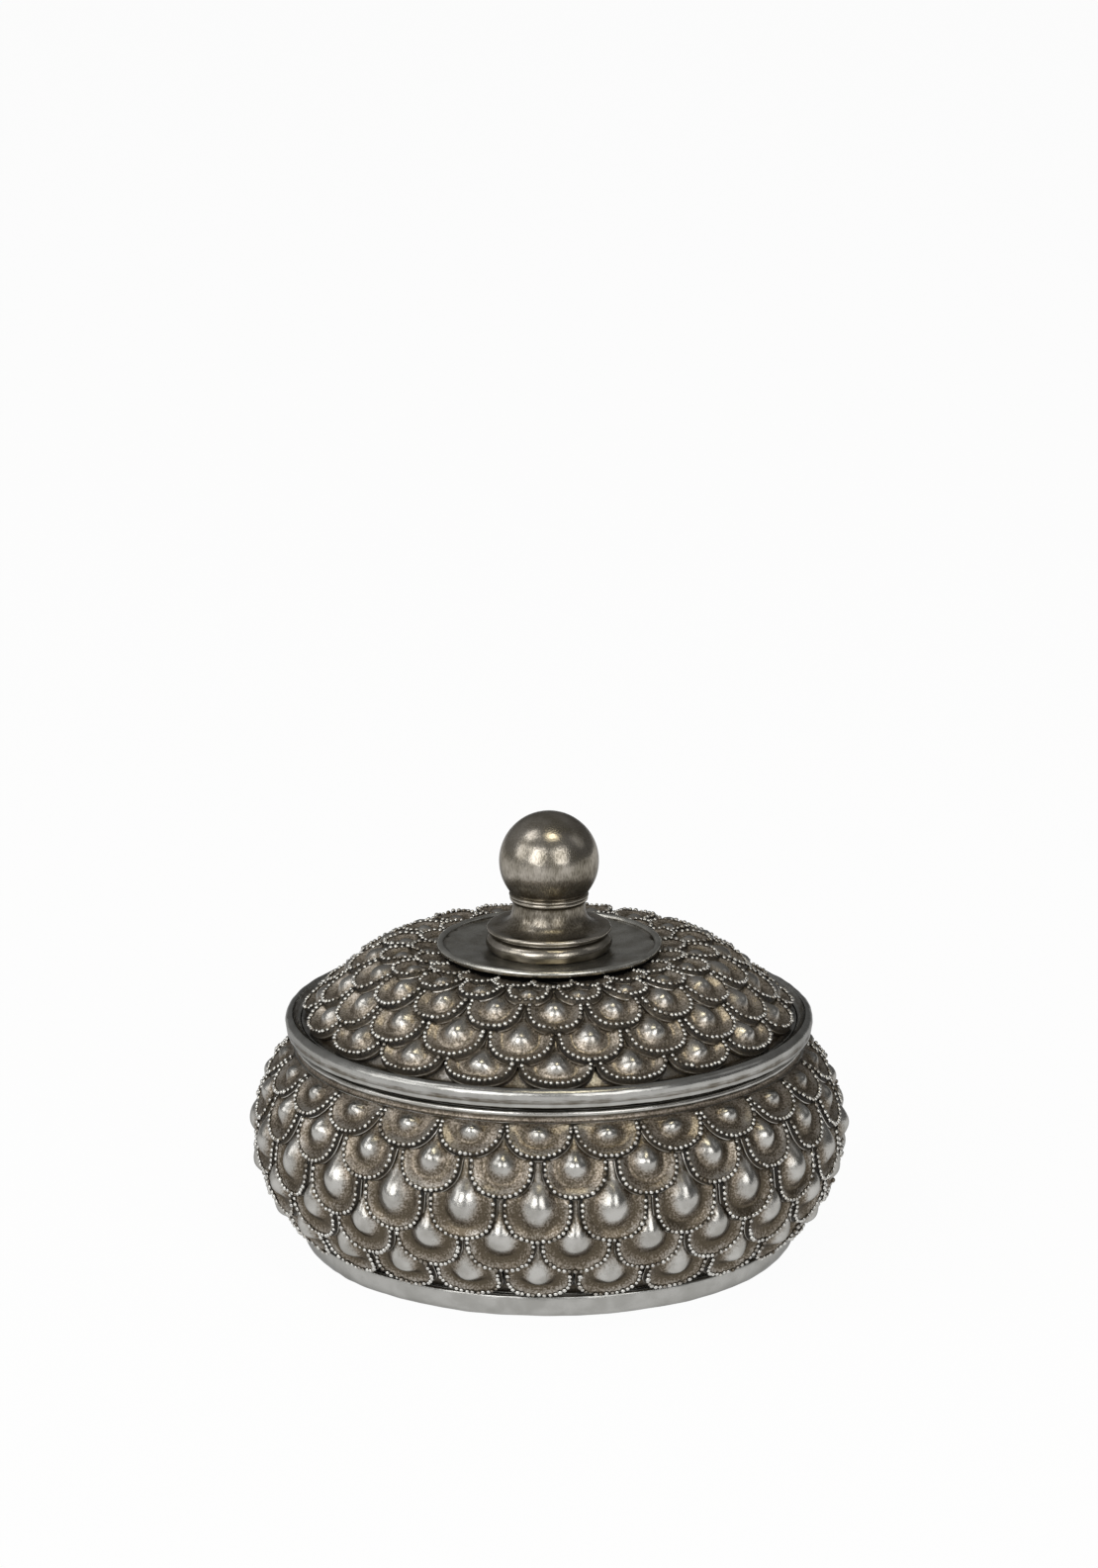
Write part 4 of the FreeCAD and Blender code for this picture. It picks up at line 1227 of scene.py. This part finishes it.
# Each body's rows, the run where they start, and whether they thin out under a collar
CLADDINGS = (("bowl", bowl_rows, BOWL_CLAD_FROM, True), ("lid", lid_rows, LID_CLAD_FROM, False))
for body, rows, clad_from, fades in CLADDINGS:
    for i in range(len(rows)):
        scales = scale_row(f"{body}_scales_{i + 1}", rows, i, clad_from, fades, SCALE_SEEDS[body] + i)
        dress(scales, body, "antique_silver", SCALE_FINISHES[body], f"{body}_scales_row_{i + 1}")

# %% [markdown]
# ## Beads
# Each border is a string of small separate beads, about a millimetre across, with dark gaps between them. An
# array along a curve would do for one border, but the strings have to stop where the next row covers them, so
# we walk along each U in even steps and leave out the hidden ones. A bead is a small ball sunk a little into
# the border.

# %% A bead and its places
BEAD_RADIUS = 0.55 * MM
BEAD_STEP = 1.34 * MM
BEAD_PATH_POINTS = 200


def bead_ball():
    """Points and faces of a small ball of radius 1."""
    ball = bmesh.new()
    bmesh.ops.create_icosphere(ball, subdivisions=2, radius=1.0)
    points = np.array([vertex.co for vertex in ball.verts])
    faces = [tuple(vertex.index for vertex in face.verts) for face in ball.faces]
    ball.free()
    return points, faces


def bead_places(row, rise):
    """Even steps along the middle of a scale's border, from its left side round the tip to its right."""
    half, depth = row.half_width - BORDER_MIDDLE, row.depth - BORDER_MIDDLE
    tip_x, tip_y = u_turn(half, depth, BEAD_PATH_POINTS)
    x = np.concatenate([[-half], tip_x, [half]])
    y = np.concatenate([[rise], tip_y, [rise]])
    along = np.concatenate([[0], np.cumsum(np.hypot(np.diff(x), np.diff(y)))])
    middle = along[-1] / 2
    count = int(middle // BEAD_STEP)
    steps = middle + BEAD_STEP * np.arange(-count, count + 1)
    return np.interp(steps, along, x), np.interp(steps, along, y)


trial_beads = bead_places(trial_scale, TRIAL_RISE)[0]
print(f"a border has room for {len(trial_beads)} beads of {2 * BEAD_RADIUS / MM:.1f} mm")

# %% Bead rows
BEAD_SPREAD = 0.12
BEAD_STRAY = 0.08 * MM
BEAD_LIFT = 0.05 * MM
BEAD_SHOWN_SHARE = 0.55
BEAD_RUB = (0.2, 1.1)
BEAD_BARE = (-0.35, 0.5)
BEAD_CLEAN = (-0.5, 0.25)
BEAD_LEAST_CLEAN = 0.55
BEAD_SEEDS = {"bowl": 60, "lid": 80}


def bead_row(name, rows, index, top_run, fades, seed):
    row = rows[index]
    rise = rise_of(rows, index, top_run)
    x, y = bead_places(row, rise)
    shown = overhang(rows, index, x, y) > BEAD_SHOWN_SHARE * BEAD_RADIUS
    x, y = x[shown], y[shown]
    height = border_stand(row, rise, y, fades) + BEAD_LIFT
    ball, ball_faces = bead_ball()
    draw = np.random.default_rng(seed)
    points, worn, grime, faces = [], [], [], []
    for i in range(row.count):
        turn = row.turn + i * row.pitch
        middles = on_wall(row, turn, x, y, height)
        outward = on_wall(row, turn, x, y, height + MM) - middles
        for middle, out in zip(middles, outward / MM):
            start = len(points) * len(ball)
            stray = draw.normal(0, BEAD_STRAY, 3)
            points.append(middle + stray + ball * BEAD_RADIUS * (1 + draw.normal(0, BEAD_SPREAD)))
            facing = ball @ out
            rubbed = draw.uniform(*BEAD_RUB)
            worn.append(rubbed * smooth_step(facing, *BEAD_BARE))
            grime.append(1 - smooth_step(facing, *BEAD_CLEAN) * min(1, BEAD_LEAST_CLEAN + rubbed))
            faces += [tuple(start + k for k in face) for face in ball_faces]
    return make_piece(name, np.concatenate(points), faces, np.concatenate(worn), np.concatenate(grime))


for body, rows, clad_from, fades in CLADDINGS:
    for i in range(len(rows)):
        beads = bead_row(f"{body}_beads_{i + 1}", rows, i, clad_from, fades, BEAD_SEEDS[body] + i)
        dress(beads, body, "antique_silver", bead_silver, f"{body}_beading_row_{i + 1}")

# %% [markdown]
# ## Screw, washer and felt
# Under the lid a screw and a washer hold the knob. They are plain hardware, so the frame's own nodes stay and
# only get a steel finish, turned in fine rings. The felt under the foot is cloth, so it is a piece of its own
# with a soft edge and a fibrous face.

# %% Steel
STEEL_RING = 0.25 * MM
STEEL_RING_DETAIL = 2.0
STEEL_RING_STROKE = (0.2, 0.2, 3.0)
STEEL_RING_DEPTH = 0.03 * MM
STEEL_SMEAR = 2.2 * MM
STEEL_SMEAR_DETAIL = 3.0
STEEL_RANGE = (0.3, 0.7)
STEEL_ROUGHNESS = (0.24, 0.42)
STEEL_DARK = colour(0.42, 0.42, 0.41)
STEEL_PALE = colour(0.56, 0.56, 0.55)


def turned_steel():
    finish = Finish("turned_steel")
    sockets = finish.shader.inputs
    rings = finish.noise(STEEL_RING, STEEL_RING_DETAIL, STEEL_RING_STROKE)
    smears = finish.noise(STEEL_SMEAR, STEEL_SMEAR_DETAIL)
    grey = finish.mix(finish.step(smears, *STEEL_RANGE), STEEL_DARK, STEEL_PALE)
    finish.feed(sockets["Base Color"], grey)
    finish.feed(sockets["Roughness"], finish.step(rings, *STEEL_RANGE, *STEEL_ROUGHNESS))
    sockets["Metallic"].default_value = 1.0
    finish.feed(sockets["Normal"], finish.bump(rings, STEEL_RING_DEPTH))
    return finish.material


steel = turned_steel()
for node in ("knob_screw", "knob_washer"):
    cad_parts[node].data.materials.clear()
    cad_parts[node].data.materials.append(steel)
    print(node, "is finished in", steel.name)

# %% Felt
FIBRE = 0.35 * MM
FIBRE_DETAIL = 5.0
FIBRE_RANGE = (0.35, 0.65)
FIBRE_DEPTH = 0.25 * MM
TUFT = 3.0 * MM
TUFT_DETAIL = 3.0
TUFT_RANGE = (0.35, 0.7)
TUFT_SHARES = (0.0, 0.35)
FELT_BLACK = colour(0.012, 0.012, 0.013)
FELT_GREY = colour(0.040, 0.039, 0.040)
FELT_TUFT = colour(0.055, 0.053, 0.052)
FELT_ROUGHNESS = 0.95
FELT_SHEEN = 0.4
FELT_EASE = 0.4 * MM


def pressed_felt():
    finish = Finish("pressed_felt")
    sockets = finish.shader.inputs
    fibres = finish.noise(FIBRE, FIBRE_DETAIL)
    tufts = finish.noise(TUFT, TUFT_DETAIL)
    dark = finish.mix(finish.step(fibres, *FIBRE_RANGE), FELT_BLACK, FELT_GREY)
    tone = finish.mix(finish.step(tufts, *TUFT_RANGE, *TUFT_SHARES), dark, FELT_TUFT)
    finish.feed(sockets["Base Color"], tone)
    sockets["Roughness"].default_value = FELT_ROUGHNESS
    sockets["Sheen Weight"].default_value = FELT_SHEEN
    finish.feed(sockets["Normal"], finish.bump(fibres, FIBRE_DEPTH))
    return finish.material


felt_outline = [(0, felt_low), (felt_radius, felt_low), (felt_radius, felt_top), (0, felt_top)]
felt = turned_piece("felt_pad", felt_outline, ease=FELT_EASE, dent=0)
dress(felt, "bowl", "felt", pressed_felt(), "base_felt")

# %% [markdown]
# ## Stage
# The box stands on a plain white floor in soft studio light. Metal shows what is around it, so the room
# matters: a pale floor below, a dim grey room that is darker to the right, and soft boxes where the highlights
# of the real box say that they were. A bright floor could come from more light, but that would wash out the
# box. Ours is partly self-lit for the camera and for reflections, which keeps it white, and still takes a
# shadow.

# %% Floor
FLOOR_SIZE = 12.0
FLOOR_WHITE_SHARE = 0.96
FLOOR_CORNERS = ((-1, -1), (1, -1), (1, 1), (-1, 1))
PAPER = colour(0.86, 0.86, 0.86)
WHITE = colour(1, 1, 1)


def white_floor():
    mesh = bpy.data.meshes.new("floor")
    half = FLOOR_SIZE / 2
    mesh.from_pydata([(x * half, y * half, 0) for x, y in FLOOR_CORNERS], [], [(0, 1, 2, 3)])
    floor = bpy.data.objects.new("floor", mesh)
    bpy.context.scene.collection.objects.link(floor)
    floor.location.z = cad_box[0].z
    finish = Finish("white_floor")
    finish.nodes.remove(finish.shader)
    ray = finish.nodes.new("ShaderNodeLightPath").outputs
    seen = finish.math("MAXIMUM", ray["Is Camera Ray"], ray["Is Glossy Ray"])
    seen = finish.math("MAXIMUM", seen, ray["Is Transmission Ray"])
    paper = finish.add("ShaderNodeBsdfDiffuse", "BSDF", Color=PAPER)
    glow = finish.add("ShaderNodeEmission", "Emission", Color=WHITE, Strength=1.0)
    mixed = finish.nodes.new("ShaderNodeMixShader")
    finish.feed(mixed.inputs[0], finish.times(seen, FLOOR_WHITE_SHARE))
    finish.feed(mixed.inputs[1], paper)
    finish.feed(mixed.inputs[2], glow)
    finish.feed(finish.nodes["Material Output"].inputs["Surface"], mixed.outputs[0])
    mesh.materials.append(finish.material)
    return floor


print("floor at", round(white_floor().location.z, 4))

# %% Room
# Along each axis of the room: where a fade starts and ends, and its shade at both
ROOM_FADES = {"Z": (0.0, 0.8, 0.34, 0.32), "X": (-1.0, 1.0, 1.0, 0.4)}
FADE_SOCKETS = ("From Min", "From Max", "To Min", "To Max")


def grey_room():
    world = bpy.data.worlds.new("grey_room")
    bpy.context.scene.world = world
    world.use_nodes = True
    nodes, links = world.node_tree.nodes, world.node_tree.links
    place = nodes.new("ShaderNodeTexCoord")
    split = nodes.new("ShaderNodeSeparateXYZ")
    links.new(place.outputs["Generated"], split.inputs[0])
    both = nodes.new("ShaderNodeMath")
    both.operation = "MULTIPLY"
    for socket, (axis, sizes) in zip(both.inputs, ROOM_FADES.items()):
        fade = nodes.new("ShaderNodeMapRange")
        for label, size in zip(FADE_SOCKETS, sizes):
            fade.inputs[label].default_value = size
        links.new(split.outputs[axis], fade.inputs["Value"])
        links.new(fade.outputs["Result"], socket)
    links.new(both.outputs[0], nodes["Background"].inputs["Color"])
    return world


print("room:", grey_room().name, "with fades along", ", ".join(ROOM_FADES))

# %% Lamps
AIM = Vector((0, 0, 55 * MM))
NEUTRAL = (1, 1, 1)
WARM = (1.0, 0.92, 0.70)

# Each lamp's direction from the box, distance, width and height in metres, brightness and tint
SOFT_BOXES = {
    "window_left": ((-0.46, -0.80, 0.39), 1.7, 1.0, 1.0, 3.8, NEUTRAL),
    "window_far_left": ((-0.88, -0.27, 0.39), 1.7, 0.8, 0.9, 2.0, NEUTRAL),
    "window_right": ((0.42, -0.82, 0.39), 1.7, 0.9, 1.0, 3.2, NEUTRAL),
    "window_side": ((0.81, 0.10, 0.58), 1.7, 0.6, 0.7, 0.4, NEUTRAL),
    "lamp_above": ((0.10, -0.28, 0.96), 1.5, 0.42, 0.42, 5.4, WARM),
    "panel_above": ((-0.56, -0.06, 0.83), 1.6, 0.6, 0.6, 2.5, NEUTRAL),
}


def soft_box(name, direction, distance, width, height, brightness, tint):
    """A rectangular lamp that looks at the box from a direction, of a given brightness to the eye."""
    lamp = bpy.data.lights.new(name, "AREA")
    lamp.shape = "RECTANGLE"
    lamp.size, lamp.size_y = width, height
    lamp.energy = brightness * math.pi * width * height
    lamp.color = tint
    holder = bpy.data.objects.new(name, lamp)
    bpy.context.scene.collection.objects.link(holder)
    holder.location = AIM + Vector(direction).normalized() * distance
    holder.rotation_euler = (AIM - holder.location).to_track_quat("-Z", "Y").to_euler()
    print(f"{name}: {lamp.energy:.1f} W")


for name, setting in SOFT_BOXES.items():
    soft_box(name, *setting)

# %% [markdown]
# ## Camera
# The photograph looks down at the box by fifteen degrees through a long lens from well over a metre away, with
# the box low in a tall frame. A lens shift could put it there too, but the same place, tilt and lens give the
# same outline without one, and the other views stay simple.

# %% Camera
CAMERA_PLACE = Vector((0, -1.3351, 0.4750))
CAMERA_TILT = math.radians(75.01)
SENSOR = 36.0
LENS = 128.48


def photo_camera():
    lens = bpy.data.cameras.new("photo_camera")
    lens.sensor_width = SENSOR
    lens.lens = LENS
    camera = bpy.data.objects.new("photo_camera", lens)
    camera.location = CAMERA_PLACE
    camera.rotation_euler = (CAMERA_TILT, 0, 0)
    bpy.context.scene.collection.objects.link(camera)
    bpy.context.scene.camera = camera
    return camera


print("camera", round((photo_camera().location - AIM).length, 2), "m away")
bpy.context.scene.view_settings.view_transform = "Standard"

# %% [markdown]
